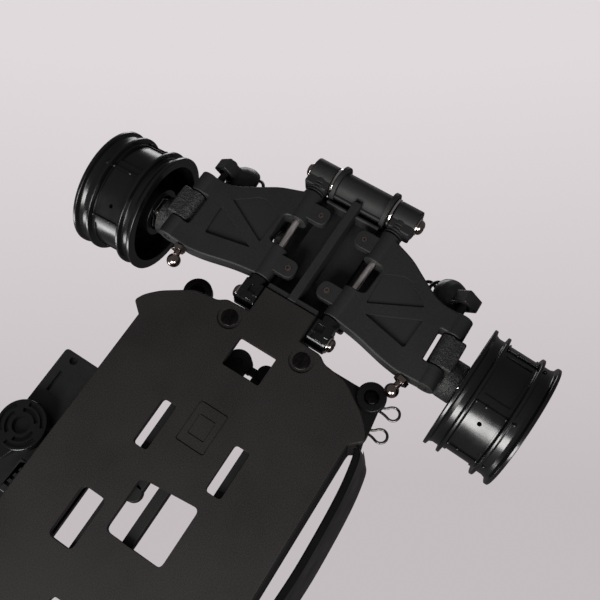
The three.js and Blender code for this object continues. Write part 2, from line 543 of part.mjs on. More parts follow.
// servo case with its mounting ears, standing on a bracket along the tub's left wall
function servo() {
  const low = [SERVO_X - 10, SERVO_Y - 8.4];
  const high = [SERVO_X + 30, SERVO_Y + 8.4];
  const wall = HALF_W + GAP;
  const shell = plate([[low[0], low[1], 1.5], [high[0], low[1], 1.5], [high[0], high[1], 1.5],
    [low[0], high[1], 1.5]], SERVO_Z, SERVO_Z + 30.5);
  const ears = plate([[low[0] - 7, low[1] + 1, 1], [high[0] + 7, low[1] + 1, 1],
    [high[0] + 7, high[1] - 1, 1], [low[0] - 7, high[1] - 1, 1]], SERVO_Z + 8, SERVO_Z + 10.5);
  const boss = rod([SERVO_X, SERVO_Y, SERVO_Z - 1], [SERVO_X, SERVO_Y, SERVO_Z + 1], 3.8, 20);
  const arm = block(SERVO_X - 2, SERVO_X + 19, wall, low[1] + 1, 27, 34);
  const web = block(SERVO_X + 8, SERVO_X + 19, wall, wall + 1.8, 13.6, 28);
  const rail = block(SERVO_X + 8, SERVO_X + 19, wall, wall + 4, 13.6, 15.8);
  const holes = [low[0] - 4, high[0] + 4].map((x) =>
    rod([x, SERVO_Y, 20], [x, SERVO_Y, 40], 2, 12));
  return cut(join(shell, ears, boss, arm, web, rail), ...holes);
}

// servo saver: a round ribbed head on a narrow hub, with a short arm
function servoHorn() {
  const at = (r, a, z) => [SERVO_X + r * Math.cos(a), SERVO_Y + r * Math.sin(a), z];
  const hub = rod([SERVO_X, SERVO_Y, 16], [SERVO_X, SERVO_Y, SERVO_Z - 1.3], 3.4, 18);
  const head = rod([SERVO_X, SERVO_Y, 13.6], [SERVO_X, SERVO_Y, 17.2], 8.3, 36);
  const arm = plate([at(6, 1.2, 0), at(11.5, 0.4, 0), at(13.5, 0.25, 0), at(13.5, 0.05, 0),
    at(11.5, -0.1, 0), at(6, -0.8, 0)].map(([x, y]) => [x, y]), 14.4, 16.8);
  const eye = rod(at(11.4, 0.15, 13), at(11.4, 0.15, 18), 1.1, 12);
  const recess = rod([SERVO_X, SERVO_Y, 13], [SERVO_X, SERVO_Y, 15], 3, 16);
  return cut(join(hub, head, arm), eye, recess);
}

const car = new THREE.Group();
car.add(piece('tub', tub(), 'nylon'));
car.add(piece('upper_deck', upperDeck(), 'nylon'));
car.add(piece('side_shelf', sideShelf(), 'nylon'));
car.add(piece('side_guard', sideGuard(), 'gloss'));
car.add(bodyClip('body_clip_aft', -95.5, -43.2, CLIP_Z));
car.add(bodyClip('body_clip_fore', -86.6, -43.4, CLIP_Z));
car.add(suspensionEnd('rear'));
car.add(suspensionEnd('front'));
car.add(piece('differential', differential(), 'case'));
car.add(piece('steering_servo', servo(), 'case'));
car.add(piece('servo_horn', servoHorn(), 'gloss'));

export default car;
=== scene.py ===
"""The looks of a bare radio-control car chassis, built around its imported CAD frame.

Every piece is drawn in millimetres.  A suspension end is drawn in its own frame (x towards the
middle of the car, origin on the ground under the axle), then placed at the rear as drawn and at
the front turned half round, as the CAD part is.
"""
import json
import math

import bmesh
import bpy
from mathutils import Matrix, Vector

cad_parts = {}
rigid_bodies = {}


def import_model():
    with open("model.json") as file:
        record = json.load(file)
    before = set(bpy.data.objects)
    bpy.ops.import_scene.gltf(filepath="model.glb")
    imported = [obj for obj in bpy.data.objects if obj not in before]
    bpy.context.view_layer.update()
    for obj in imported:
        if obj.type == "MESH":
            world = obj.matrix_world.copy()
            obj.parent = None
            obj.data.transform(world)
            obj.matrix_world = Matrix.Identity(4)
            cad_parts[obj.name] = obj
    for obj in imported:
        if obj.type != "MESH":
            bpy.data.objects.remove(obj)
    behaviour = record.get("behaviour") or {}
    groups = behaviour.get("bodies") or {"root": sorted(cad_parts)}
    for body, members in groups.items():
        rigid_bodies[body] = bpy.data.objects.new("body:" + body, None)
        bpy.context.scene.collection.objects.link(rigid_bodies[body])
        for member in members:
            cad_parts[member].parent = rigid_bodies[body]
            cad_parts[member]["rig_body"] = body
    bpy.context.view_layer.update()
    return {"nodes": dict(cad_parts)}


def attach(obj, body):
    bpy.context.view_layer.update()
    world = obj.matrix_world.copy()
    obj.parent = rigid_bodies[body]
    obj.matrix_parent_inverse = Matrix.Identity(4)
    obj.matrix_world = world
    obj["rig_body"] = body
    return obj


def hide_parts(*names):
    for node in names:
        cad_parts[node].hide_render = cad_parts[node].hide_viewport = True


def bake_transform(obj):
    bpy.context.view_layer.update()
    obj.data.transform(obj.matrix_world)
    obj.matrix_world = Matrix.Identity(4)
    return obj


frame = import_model()

# ---- driving dimensions (mm), the same as the CAD part's --------------------------------------
MM = 0.001
WHEELBASE = 225
HALF = WHEELBASE / 2
RIM_R = 22
RIM_W = 24
RIM_IN = 60.3
FLOOR = 9
FLOOR_T = 2.5
RIM_Z = 35
HALF_W = 40
CLIP_Z = 37.9
PIN_Z = 13.2
PIN_R = 1.2
PIN_Y = 15
PIN_MID = -13
PIN_SLANT = math.tan(math.radians(2.5))
OUTER_PIN_Y = {"rear": 50.6, "front": 47.4}
TOE_IN = math.radians(3)
GAP = 0.3
BORE_R = PIN_R + GAP
ARM_Z = (10.2, 16.2)
BARREL_R = 3.6
AXLE_R = 2.5
DIFF_X = -4
DIFF_Z = 29
SHOCK_X = -25
SHOCK_LOW = (48.5, 15.8)
SHOCK_TOP = (17, 51)
SHOCK_LEN = math.hypot(SHOCK_LOW[0] - SHOCK_TOP[0], SHOCK_TOP[1] - SHOCK_LOW[1])
CUP = 9.5
SEAT = 35.5
KINGPIN_Y = 57
SERVO_X = -25
SERVO_Y = 51
SERVO_Z = 25
NECK_X = 8.2

# ---- places of screws, lugs and clips (mm) ------------------------------------------------------
TUBE_X = -40
TUBE_Z = 14.4
LUG_Z = 14.2
FORE_LUG_X = 13
FLOOR_SCREWS = [(x, y) for x in (23.5 - HALF, HALF - 23.5) for y in (13.9, -13.9)]
DECK_BOSSES = [(x, y) for x in (15.8 - HALF, HALF - 15.8) for y in (-37, 37)]
CLIPS = {"aft": (-95.5, -43.2), "fore": (-86.6, -43.4)}
SHELF_X = 59.3 - HALF

ENDS = {
    "rear": Matrix.Translation((-HALF, 0, 0)),
    "front": Matrix.Translation((HALF, 0, 0)) @ Matrix.Rotation(math.pi, 4, "Z"),
    "car": Matrix.Identity(4),
}


# ---- mesh tools ---------------------------------------------------------------------------------
def rounded(points, closed=True, steps=5):
    """Points (x, y, fillet): each fillet is drawn as a quadratic curve."""
    out = []
    count = len(points)
    for i, point in enumerate(points):
        here = Vector(point[:2])
        fillet = point[2] if len(point) > 2 else 0
        at_end = not closed and i in (0, count - 1)
        if not fillet or at_end:
            out.append(here)
            continue
        legs = [Vector(points[(i + step) % count][:2]) - here for step in (-1, 1)]
        start, stop = (here + leg.normalized() * min(fillet, leg.length * 0.48) for leg in legs)
        for k in range(steps + 1):
            t = k / steps
            out.append(start * (1 - t) ** 2 + here * 2 * t * (1 - t) + stop * t * t)
    kept = []
    for p in out:
        if not kept or (p - kept[-1]).length > 1e-4:
            kept.append(p)
    if closed and (kept[0] - kept[-1]).length < 1e-4:
        kept.pop()
    return kept


def counterclockwise(loop):
    area = sum(a.x * b.y - b.x * a.y for a, b in zip(loop, loop[1:] + loop[:1]))
    return loop if area > 0 else loop[::-1]


def inset(loop, depth):
    """The loop moved inwards by depth along its corners' bisectors."""
    moved = []
    for i, p in enumerate(loop):
        before = (p - loop[i - 1]).normalized()
        after = (loop[(i + 1) % len(loop)] - p).normalized()
        normals = [Vector((-d.y, d.x)) for d in (before, after)]
        spread = max(0.35, 1 + normals[0].dot(normals[1]))
        moved.append(p + (normals[0] + normals[1]) * (depth / spread))
    return moved


def new_object(bm):
    bmesh.ops.recalc_face_normals(bm, faces=bm.faces)
    mesh = bpy.data.meshes.new("solid")
    bm.to_mesh(mesh)
    bm.free()
    obj = bpy.data.objects.new("solid", mesh)
    bpy.context.scene.collection.objects.link(obj)
    return obj


def skin(rings, close_ends=True):
    """A closed solid through rings of equally many points."""
    bm = bmesh.new()
    rows = [[bm.verts.new(p) for p in ring] for ring in rings]
    for lower, upper in zip(rows, rows[1:]):
        for i in range(len(lower)):
            j = (i + 1) % len(lower)
            bm.faces.new((lower[i], lower[j], upper[j], upper[i]))
    if close_ends:
        bm.faces.new(rows[0][::-1])
        bm.faces.new(rows[-1])
    return new_object(bm)


def prism(points, low, high, edge=0.35, plane="xy"):
    """An outline raised from low to high with rounded rims; plane yz raises along x."""
    loop = counterclockwise(rounded(points))
    edge = min(edge, (high - low) * 0.45)
    steps = [(0.0, 0.0)]
    if edge > 0:
        steps = [(edge, 0.0), (edge * 0.62, edge * 0.08), (edge * 0.29, edge * 0.29),
                 (edge * 0.08, edge * 0.62), (0.0, edge)]
    levels = [(d, low + rise) for d, rise in steps] + [(d, high - rise) for d, rise in steps[::-1]]
    swap = {"xy": lambda a, b, h: (a, b, h), "yz": lambda a, b, h: (h, a, b)}[plane]
    return skin([[swap(p.x, p.y, h) for p in inset(loop, d)] for d, h in levels])


def block(x0, x1, y0, y1, z0, z1, edge=0.35):
    y0, y1 = sorted((y0, y1))
    corner = edge * 1.2
    corners = [(x0, y0, corner), (x1, y0, corner), (x1, y1, corner), (x0, y1, corner)]
    return prism(corners, z0, z1, edge)


def frame_along(start, toward):
    start, toward = Vector(start), Vector(toward)
    turn = (toward - start).to_track_quat("Z", "Y")
    return Matrix.Translation(start) @ turn.to_matrix().to_4x4()


def turned(profile, start, toward, sides=56, edge=0.25, closed=False):
    """A turned solid: profile of (radius, distance along the axis), rounded at its corners."""
    outline = rounded([(r, d, edge) for r, d in profile], closed)
    bm = bmesh.new()
    rows = []
    for p in outline:
        if p.x < 1e-5:
            rows.append([bm.verts.new((0, 0, p.y))])
            continue
        ring = []
        for k in range(sides):
            a = 2 * math.pi * k / sides
            ring.append(bm.verts.new((p.x * math.cos(a), p.x * math.sin(a), p.y)))
        rows.append(ring)
    pairs = list(zip(rows, rows[1:] + rows[:1])) if closed else list(zip(rows, rows[1:]))
    for lower, upper in pairs:
        for i in range(sides):
            j = (i + 1) % sides
            corners = [lower[i % len(lower)], lower[j % len(lower)],
                       upper[j % len(upper)], upper[i % len(upper)]]
            unique = list(dict.fromkeys(corners))
            if len(unique) > 2:
                bm.faces.new(unique)
    bm.transform(frame_along(start, toward))
    return new_object(bm)


def rod(start, stop, radius, edge=0.25, sides=40):
    length = (Vector(stop) - Vector(start)).length
    edge = min(edge, radius * 0.4, length * 0.4)
    return turned([(0, 0), (radius, 0), (radius, length), (0, length)], start, stop, sides, edge)


def ball(centre, radius, sides=40):
    half_turn = [(radius * math.sin(math.pi * k / 20), -radius * math.cos(math.pi * k / 20))
                 for k in range(21)]
    half_turn[0], half_turn[-1] = (0, -radius), (0, radius)
    top = Vector(centre) + Vector((0, 0, 1))
    return turned(half_turn, centre, top, sides, 0)


def wire(points, radius, sides, resolution):
    """A bent wire through points, as a mesh."""
    curve = bpy.data.curves.new("wire", "CURVE")
    curve.dimensions = "3D"
    curve.bevel_depth = radius
    curve.bevel_resolution = max(1, sides // 4)
    curve.resolution_u = resolution
    curve.use_fill_caps = True
    spline = curve.splines.new("NURBS")
    spline.points.add(len(points) - 1)
    for point, place in zip(spline.points, points):
        point.co = (*place, 1)
    spline.order_u = 4
    spline.use_endpoint_u = True
    holder = bpy.data.objects.new("wire", curve)
    bpy.context.scene.collection.objects.link(holder)
    return flat_mesh(holder)


def flat_mesh(holder):
    """The evaluated shape of an object as a mesh object of its own."""
    bpy.context.view_layer.update()
    graph = bpy.context.evaluated_depsgraph_get()
    mesh = bpy.data.meshes.new_from_object(holder.evaluated_get(graph))
    obj = bpy.data.objects.new("solid", mesh)
    bpy.context.scene.collection.objects.link(obj)
    bpy.data.objects.remove(holder)
    return obj


def solve(base, tools, operation):
    for tool in tools:
        step = base.modifiers.new("solve", "BOOLEAN")
        step.operation = operation
        step.solver = "MANIFOLD"
        step.object = tool
    result = flat_mesh(base)
    for tool in tools:
        bpy.data.objects.remove(tool)
    return result


def join(first, *others):
    return solve(first, others, "UNION")


def cut(base, *tools):
    return solve(base, tools, "DIFFERENCE")


def gather(*solids):
    """Separate solids kept side by side in one mesh."""
    bm = bmesh.new()
    for obj in solids:
        bm.from_mesh(obj.data)
        bpy.data.objects.remove(obj)
    mesh = bpy.data.meshes.new("solids")
    bm.to_mesh(mesh)
    bm.free()
    obj = bpy.data.objects.new("solids", mesh)
    bpy.context.scene.collection.objects.link(obj)
    return obj


def mirrored(points, s):
    return [(p[0], s * p[1], *p[2:]) for p in points]


# ---- materials ------------------------------------------------------------------------------------
class Finish:
    """A Principled material with a few procedural layers in object space."""

    def __init__(self, name, **sockets):
        self.material = bpy.data.materials.new(name)
        self.material.use_nodes = True
        self.tree = self.material.node_tree
        self.shader = self.tree.nodes["Principled BSDF"]
        for socket, value in sockets.items():
            self.shader.inputs[socket.replace("_", " ")].default_value = value
        self.place = self.node("ShaderNodeTexCoord").outputs["Object"]

    def node(self, kind, **values):
        made = self.tree.nodes.new(kind)
        for key, value in values.items():
            setattr(made, key, value)
        return made

    def link(self, a, b):
        self.tree.links.new(a, b)

    def noise(self, scale, detail=2.0, roughness=0.5, stretch=(1, 1, 1)):
        mapping = self.node("ShaderNodeMapping")
        mapping.inputs["Scale"].default_value = stretch
        self.link(self.place, mapping.inputs["Vector"])
        made = self.node("ShaderNodeTexNoise")
        made.inputs["Scale"].default_value = scale
        made.inputs["Detail"].default_value = detail
        made.inputs["Roughness"].default_value = roughness
        self.link(mapping.outputs["Vector"], made.inputs["Vector"])
        return made.outputs["Fac"]

    def ramp(self, factor, *stops):
        made = self.node("ShaderNodeValToRGB")
        elements = made.color_ramp.elements
        while len(elements) < len(stops):
            elements.new(0.5)
        for element, (place, colour) in zip(elements, stops):
            element.position = place
            element.color = (*colour, 1)
        self.link(factor, made.inputs["Fac"])
        return made.outputs["Color"]

    def remap(self, factor, low, high, to_low, to_high):
        made = self.node("ShaderNodeMapRange")
        for name, value in zip(("From Min", "From Max", "To Min", "To Max"),
                               (low, high, to_low, to_high)):
            made.inputs[name].default_value = value
        self.link(factor, made.inputs["Value"])
        return made.outputs["Result"]

    def bump(self, height, strength, distance, below=None):
        made = self.node("ShaderNodeBump")
        made.inputs["Strength"].default_value = strength
        made.inputs["Distance"].default_value = distance
        self.link(height, made.inputs["Height"])
        if below is not None:
            self.link(below, made.inputs["Normal"])
        return made.outputs["Normal"]

    def set(self, socket, output):
        self.link(output, self.shader.inputs[socket])


def sparked_nylon(name, dark, light, grain, depth):
    """Moulded nylon with the fine grain of a spark-eroded mould."""
    finish = Finish(name, Roughness=0.6, Specular_IOR_Level=0.4)
    fine = finish.noise(grain, 3.0, 0.65)
    broad = finish.noise(70, 3.0, 0.5)
    finish.set("Base Color", finish.ramp(fine, (0.38, dark), (0.62, light)))
    finish.set("Roughness", finish.remap(broad, 0.3, 0.7, 0.52, 0.66))
    coarse = finish.bump(broad, 0.15, 0.0002)
    finish.set("Normal", finish.bump(fine, 0.55, depth, coarse))
    return finish.material


def smooth_plastic(name, colour, rough, waviness, shine=0.5):
    """Plastic from a polished mould, with faint flow lines and uneven shine."""
    finish = Finish(name, Roughness=rough, Specular_IOR_Level=shine)
    flow = finish.noise(120, 2.0, 0.5)
    dust = finish.noise(2600, 2.0, 0.6)
    lighter = tuple(c * 1.6 + 0.001 for c in colour)
    finish.set("Base Color", finish.ramp(dust, (0.3, colour), (0.75, lighter)))
    finish.set("Roughness", finish.remap(flow, 0.3, 0.7, rough * 0.8, rough * 1.35))
    finish.set("Normal", finish.bump(flow, waviness, 0.0003))
    return finish.material


def bright_steel(name, colour, rough):
    """Plated steel with fine drawn scratches."""
    finish = Finish(name, Metallic=1.0, Roughness=rough)
    scratch = finish.noise(900, 3.0, 0.6, (0.15, 1, 1))
    darker = tuple(c * 0.72 for c in colour)
    finish.set("Base Color", finish.ramp(scratch, (0.3, darker), (0.6, colour)))
    finish.set("Roughness", finish.remap(scratch, 0.3, 0.7, rough * 0.7, rough * 1.6))
    finish.set("Normal", finish.bump(scratch, 0.06, 0.00005))
    return finish.material


def cast_plastic(name):
    """The coarse cast face of the hub pieces."""
    finish = Finish(name, Roughness=0.45, Specular_IOR_Level=0.5)
    lumps = finish.noise(420, 5.0, 0.75)
    fine = finish.noise(2600, 2.0, 0.6)
    finish.set("Base Color", finish.ramp(fine, (0.35, (0.008, 0.008, 0.008)), (0.7, (0.05, 0.05, 0.05))))
    finish.set("Roughness", finish.remap(fine, 0.3, 0.7, 0.35, 0.5))
    finish.set("Normal", finish.bump(lumps, 1.0, 0.0008))
    return finish.material


NYLON = sparked_nylon("tub_nylon", (0.0042, 0.0037, 0.0035), (0.0205, 0.0186, 0.0175), 3000, 0.00007)
# Darker nylon for the pieces inside the tub: painted shade, standing in for the shadow they lie in behind
# the floor's windows.
PAINTED_SHADE_NYLON = sparked_nylon("painted_shade_nylon", (0.003, 0.0028, 0.0027), (0.0075, 0.007, 0.0068), 3200, 0.00003)
ARM_NYLON = sparked_nylon("arm_nylon", (0.0125, 0.0123, 0.0123), (0.0195, 0.0191, 0.0191), 2600, 0.00003)
SATIN = smooth_plastic("satin_plastic", (0.010, 0.010, 0.010), 0.36, 0.1)
GLOSS = smooth_plastic("gloss_plastic", (0.0045, 0.0045, 0.0047), 0.17, 0.12)
GUARD_GLOSS = smooth_plastic("guard_gloss_plastic", (0.003, 0.003, 0.003), 0.26, 0.1, 0.22)
RIM_GLOSS = smooth_plastic("rim_gloss_plastic", (0.0045, 0.0045, 0.005), 0.22, 0.16)
STEEL = bright_steel("plated_steel", (0.86, 0.83, 0.80), 0.13)
PIN_STEEL = bright_steel("pin_steel", (0.95, 0.9, 0.88), 0.34)
DARK_STEEL = bright_steel("black_nickel", (0.42, 0.36, 0.33), 0.14)
BLACK_SCREW = bright_steel("black_screw", (0.035, 0.032, 0.032), 0.3)
WIRE_STEEL = bright_steel("clip_wire_steel", (0.16, 0.155, 0.15), 0.3)
SPRING = bright_steel("coated_spring", (0.03, 0.03, 0.032), 0.34)
CAST = cast_plastic("cast_plastic")


def add(name, obj, end, material, slot, nodes=(), body=None, sharp=34):
    """Scales a finished piece to metres, places it and rides it on its CAD body, unless the body is given
    as later.
    """
    obj.name = name
    obj.data.name = name
    obj.data.transform(Matrix.Scale(MM, 4) @ ENDS[end])
    obj.data.materials.clear()
    obj.data.materials.append(material)
    obj.data.shade_smooth()
    obj.data.set_sharp_from_angle(angle=math.radians(sharp))
    weighted = obj.modifiers.new("weighted", "WEIGHTED_NORMAL")
    weighted.keep_sharp = True
    nodes = [nodes] if isinstance(nodes, str) else list(nodes)
    if nodes:
        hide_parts(*nodes)
    body = body or frame["nodes"][nodes[0]]["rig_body"]
    if body != "later":
        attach(obj, body)
    return obj


# ---- fasteners ------------------------------------------------------------------------------------
def pan_screw(start, toward, radius=2.7, height=1.9):
    """A pan-head screw with a cross recess, its head's underside at start."""
    dome = [(0, 0), (radius, 0), (radius, height * 0.35), (radius * 0.82, height * 0.75),
            (radius * 0.5, height * 0.97), (0, height)]
    head = turned(dome, start, toward, 48, 0.5)
    place = frame_along(start, toward)
    blades = []
    for turn in (0, math.pi / 2):
        blade = block(-radius * 0.62, radius * 0.62, -0.32, 0.32, height * 0.45, height + 1, 0)
        blade.data.transform(place @ Matrix.Rotation(turn + 0.6, 4, "Z"))
        blades.append(blade)
    return cut(head, *blades)


def washer(start, toward, radius=3.3, thickness=0.55, bore=1.5):
    profile = [(bore, 0), (radius, 0), (radius, thickness), (bore, thickness)]
    return turned(profile, start, toward, 48, 0.12, closed=True)


def grub_screw(centre, radius=1.25, depth=1.0):
    """A headless screw with a hexagon socket, its flat end looking down."""
    x, y, z = centre
    body = rod((x, y, z + 2.4), (x, y, z), radius, 0.22, 32)
    hexagon = rod((x, y, z + depth), (x, y, z - 1), radius * 0.56, 0, 6)
    return cut(body, hexagon)


# ---- tub --------------------------------------------------------------------------------------------
EAR = [(18.2, 9.8), (18.6, 18, 1), (20.5, 20.8, 1), (21.6, 29.4, 2), (27.8, 38.8, 2),
       (31.8, 42.8, 2), (35, 44.2, 1), (38.4, HALF_W)]


def both_ends(points, s):
    rear = [(x - HALF, s * y, *r) for x, y, *r in points]
    front = [(HALF - x, s * y, *r) for x, y, *r in points]
    return rear, front


def floor_outline():
    quarter = [(NECK_X, 9.8), *EAR]
    rear_l, front_l = both_ends(quarter, 1)
    rear_r, front_r = both_ends(quarter, -1)
    return [*rear_l, *front_l[::-1], *front_r, *rear_r[::-1]]


def end_walls(x, turn):
    def shift(points):
        return [(x + turn * p[0], *p[1:]) for p in points]

    parts = []
    for s in (1, -1):
        shoulder = [(21.8, s * 29.2), (27.9, s * 38.5, 2), (31.9, s * 42.4, 1), (34.9, s * 43.8),
                    (37.4, s * HALF_W), (37.4, s * 37.6), (34, s * 41.2), (30, s * 38, 2), (24, s * 28.4)]
        parts.append(prism(shift(shoulder), FLOOR + 1, RIM_Z, 0.3))
        cheek = [(NECK_X, s * 7.6), (NECK_X, s * 9.8), (20, s * 9.8), (20, s * 7.6)]
        parts.append(prism(shift(cheek), FLOOR + 1, FLOOR + 20, 0.3))
    cross = [(18.6, -18), (20.6, -18), (20.6, 18), (18.6, 18)]
    parts.append(prism(shift(cross), FLOOR + 1, FLOOR + 6, 0.3))
    return parts


def lobed_bracket(x):
    """A bar with a large and a small round lobe over the rear window."""
    def lobe(u, v, r):
        return rod((x + u, v, FLOOR + 7), (x + u, v, FLOOR + 12), r, 0.4)

    corners = [(31.9, -9, 1), (39, -11, 1), (39, 11, 1), (31.9, 9, 1)]
    bar = prism([(x + u, v, f) for u, v, f in corners], FLOOR + 8, FLOOR + 10.5)
    slit = block(x + 34.6, x + 36.2, -1.9, 1.6, FLOOR + 7, FLOOR + 12, 0)
    posts = [rod((x + 37.5, v, FLOOR + 1), (x + 37.5, v, FLOOR + 10), 1.4) for v in (-10, 10)]
    dimple = rod((x + 33.3, 4.7, FLOOR), (x + 33.3, 4.7, FLOOR + 8), 1.6, 0)
    return cut(join(bar, lobe(33.3, 4.7, 4.6), lobe(32, -5.4, 3.2), *posts), slit, dimple)


def rectangle(u0, u1, y0, y1, r):
    return [(u0 - HALF, y0, r), (u1 - HALF, y0, r), (u1 - HALF, y1, r), (u0 - HALF, y1, r)]


def groove(points, depth, width=0.35):
    """A thin closed line pressed into the floor's underside."""
    outer = prism(points, FLOOR - 1, FLOOR + depth, 0)
    loop = counterclockwise(rounded(points))
    inner = prism([(p.x, p.y) for p in inset(loop, width)], FLOOR - 2, FLOOR + depth + 1, 0)
    return cut(outer, inner)


def tub():
    floor = prism(floor_outline(), FLOOR, FLOOR + FLOOR_T, 0.5)
    windows = [(27, 37.8, -6.9, 7.1, 0.8), (56.5, 72.8, 10.9, 16.3, 1.2), (56.5, 72.8, -16.7, -11, 1.2),
               (91, 108, 12, 21, 2), (120, 138, -9, 9, 2), (187, 197, -7, 7, 1)]
    cuts = [prism(rectangle(*w), FLOOR - 1, FLOOR + FLOOR_T + 0.01, 0) for w in windows]
    middle = [(-34.3, -13, 2), (-14.5, -13, 2), (-14.5, 7.4, 2), (-32.3, 7.4, 1.5)]
    cuts.append(prism(middle, FLOOR - 1, FLOOR + FLOOR_T + 0.01, 0))
    for x, y in FLOOR_SCREWS:
        cuts.append(rod((x, y, FLOOR - 1), (x, y, FLOOR + 0.5), 4.2, 0))
    cuts.append(groove(rectangle(50.7, 65, -4.8, 5.8, 1), 0.35, 0.4))
    cuts.append(groove(rectangle(54.4, 61.5, -2.6, 3.6, 0.6), 0.25, 0.35))
    wall_x = HALF - 37.4
    walls = [block(-wall_x, wall_x, s * (HALF_W - 2.4), s * HALF_W, FLOOR + 1, RIM_Z) for s in (1, -1)]
    return join(cut(floor, *cuts), *walls, *end_walls(-HALF, 1), *end_walls(HALF, -1))


def tub_inside():
    """Ribs, cross walls and brackets standing on the floor, seen through its windows."""
    parts = [block(-62, 40, 10.4, 13.85, FLOOR + 2.2, FLOOR + 6),
             block(-62, 40, -17, -13.8, FLOOR + 2.2, FLOOR + 6),
             block(-37, -12, -2.1, 1.5, FLOOR + 2.2, FLOOR + 6),
             block(-36, -29, 5.1, 8.6, FLOOR + 2.2, FLOOR + 5.5),
             rod((-27.5, 7.6, FLOOR + 2.2), (-27.5, 7.6, FLOOR + 5.5), 3),
             block(40, 42, -38.5, 38.5, FLOOR + 1, FLOOR + 16),
             block(-64, -62, -38.5, 38.5, FLOOR + 1, FLOOR + 8)]
    return gather(*parts, lobed_bracket(-HALF))


def floor_screws():
    """The four screws sunk in the floor's round recesses."""
    z = FLOOR + 0.52
    return gather(*[pan_screw((x, y, z), (x, y, 0), 2.9, 0.42) for x, y in FLOOR_SCREWS])


def upper_deck():
    quarter = [(14.5, 30, 1), (14, 41, 3), (30, 43, 2), (37, 40.2, 2)]
    rear_l, front_l = both_ends(quarter, 1)
    rear_r, front_r = both_ends(quarter, -1)
    z0 = RIM_Z + GAP
    plate = prism([*rear_l, *front_l[::-1], *front_r, *rear_r[::-1]], z0, z0 + 2, 0.4)
    inner = prism([(-92, 28, 5), (62, 28, 5), (62, -28, 5), (-92, -28, 5)], z0 - 1, z0 + 4, 0)
    nose = prism([(70, 24, 4), (92, 24, 4), (92, -24, 4), (70, -24, 4)], z0 - 1, z0 + 4, 0)
    bosses = [rod((x, y, z0 - 2), (x, y, z0 + 2), 5.4, 0.6, 56) for x, y in DECK_BOSSES]
    sinks = [rod((x, y, z0 - 3), (x, y, z0 - 1.4), 3, 0) for x, y in DECK_BOSSES]
    return cut(join(cut(plate, inner, nose), *bosses), *sinks)


def deck_screws():
    """One dark screw sunk in the underside of each corner boss of the deck."""
    z = RIM_Z + GAP - 1.35
    return gather(*[pan_screw((x, y, z), (x, y, 0), 2.6, 0.6) for x, y in DECK_BOSSES])


def side_shelf():
    x = SHELF_X
    inner = HALF_W + GAP
    tray = prism([(x, inner), (x + 24.2, inner), (x + 24.2, 57.2, 1.5), (x, 57.2, 1.5)], 18.6, 20.6)
    lip = block(x, x + 24.2, inner, HALF_W + 2, 18.6, 27)
    holes = [rod((x + u, 52.3, 18), (x + u, 52.3, 19.8), 1.5, 0) for u in (2.4, 21.2)]
    slit = block(x + 7.5, x + 15, 52.8, 54, 18, 19.8, 0)
    return cut(join(tray, lip), *holes, slit)


def catmull(points, steps):
    """Points along a smooth curve through the given ones."""
    ends = [points[0] * 2 - points[1], *points, points[-1] * 2 - points[-2]]
    out = []
    for a, b, c, d in zip(ends, ends[1:], ends[2:], ends[3:]):
        for k in range(steps):
            t = k / steps
            out.append(0.5 * (2 * b + (c - a) * t + (2 * a - 5 * b + 4 * c - d) * t * t
                              + (3 * b - a - 3 * c + d) * t ** 3))
    return [*out, points[-1].copy()]


def side_guard():
    """Arched wall beside the tub, leaning out towards the deck."""
    route = [(-83, -35), (-78.5, -39), (-76, -41), (-73.4, -42.7), (-66.5, -44), (-58.4, -44.8),
             (-46.5, -45.3), (-32.5, -45.4), (-17.5, -44.4), (-6.5, -42.4), (-0.5, -40.2)]
    band, lean, low, soft = 2.4, 3.6, FLOOR + 4, 0.4
    height = RIM_Z - low
    section = [(-soft, 0), (0, soft), (-lean, height - soft), (-lean - soft, height),
               (-lean - band + soft, height), (-lean - band, height - soft),
               (-band, soft), (soft - band, 0)]
    rings = []
    for p in catmull([Vector((x, y, low)) for x, y in route], 5):
        rings.append([(p.x, p.y + dy, p.z + dz) for dy, dz in section])
    wall = skin(rings)
    keep = HALF_W + GAP
    ear = [(21, 28), (27.3, 39.4), (31.5, 43.5), (35.3, 45), (39.2, keep), (39.2, 20), (21, 20)]
    return cut(wall, block(-200, 200, -keep, keep, 0, 60, 0),
               prism([(u - HALF, -y) for u, y in ear], 0, RIM_Z + 1, 0))


def body_clip(x, y):
    """Hairpin of bent wire with a teardrop loop at its outer end."""
    loop = [(1, 7.4), (0.8, 3.6), (0.75, 0.8), (1, -1), (1.5, -2.9), (0.8, -4.6), (-0.9, -5.3),
            (-2.6, -4.6), (-3.3, -2.9), (-2.6, -1.2), (-1.4, 0), (-0.8, 1.6), (-0.7, 4), (-0.9, 7.4)]
    return wire(catmull([Vector((x + u, y + v, CLIP_Z)) for u, v in loop], 4), 0.48, 12, 2)


# ---- suspension end -----------------------------------------------------------------------------------
def inner_pin(x, s, z=PIN_Z):
    return (x, s * (PIN_Y - (x - PIN_MID) * PIN_SLANT), z)


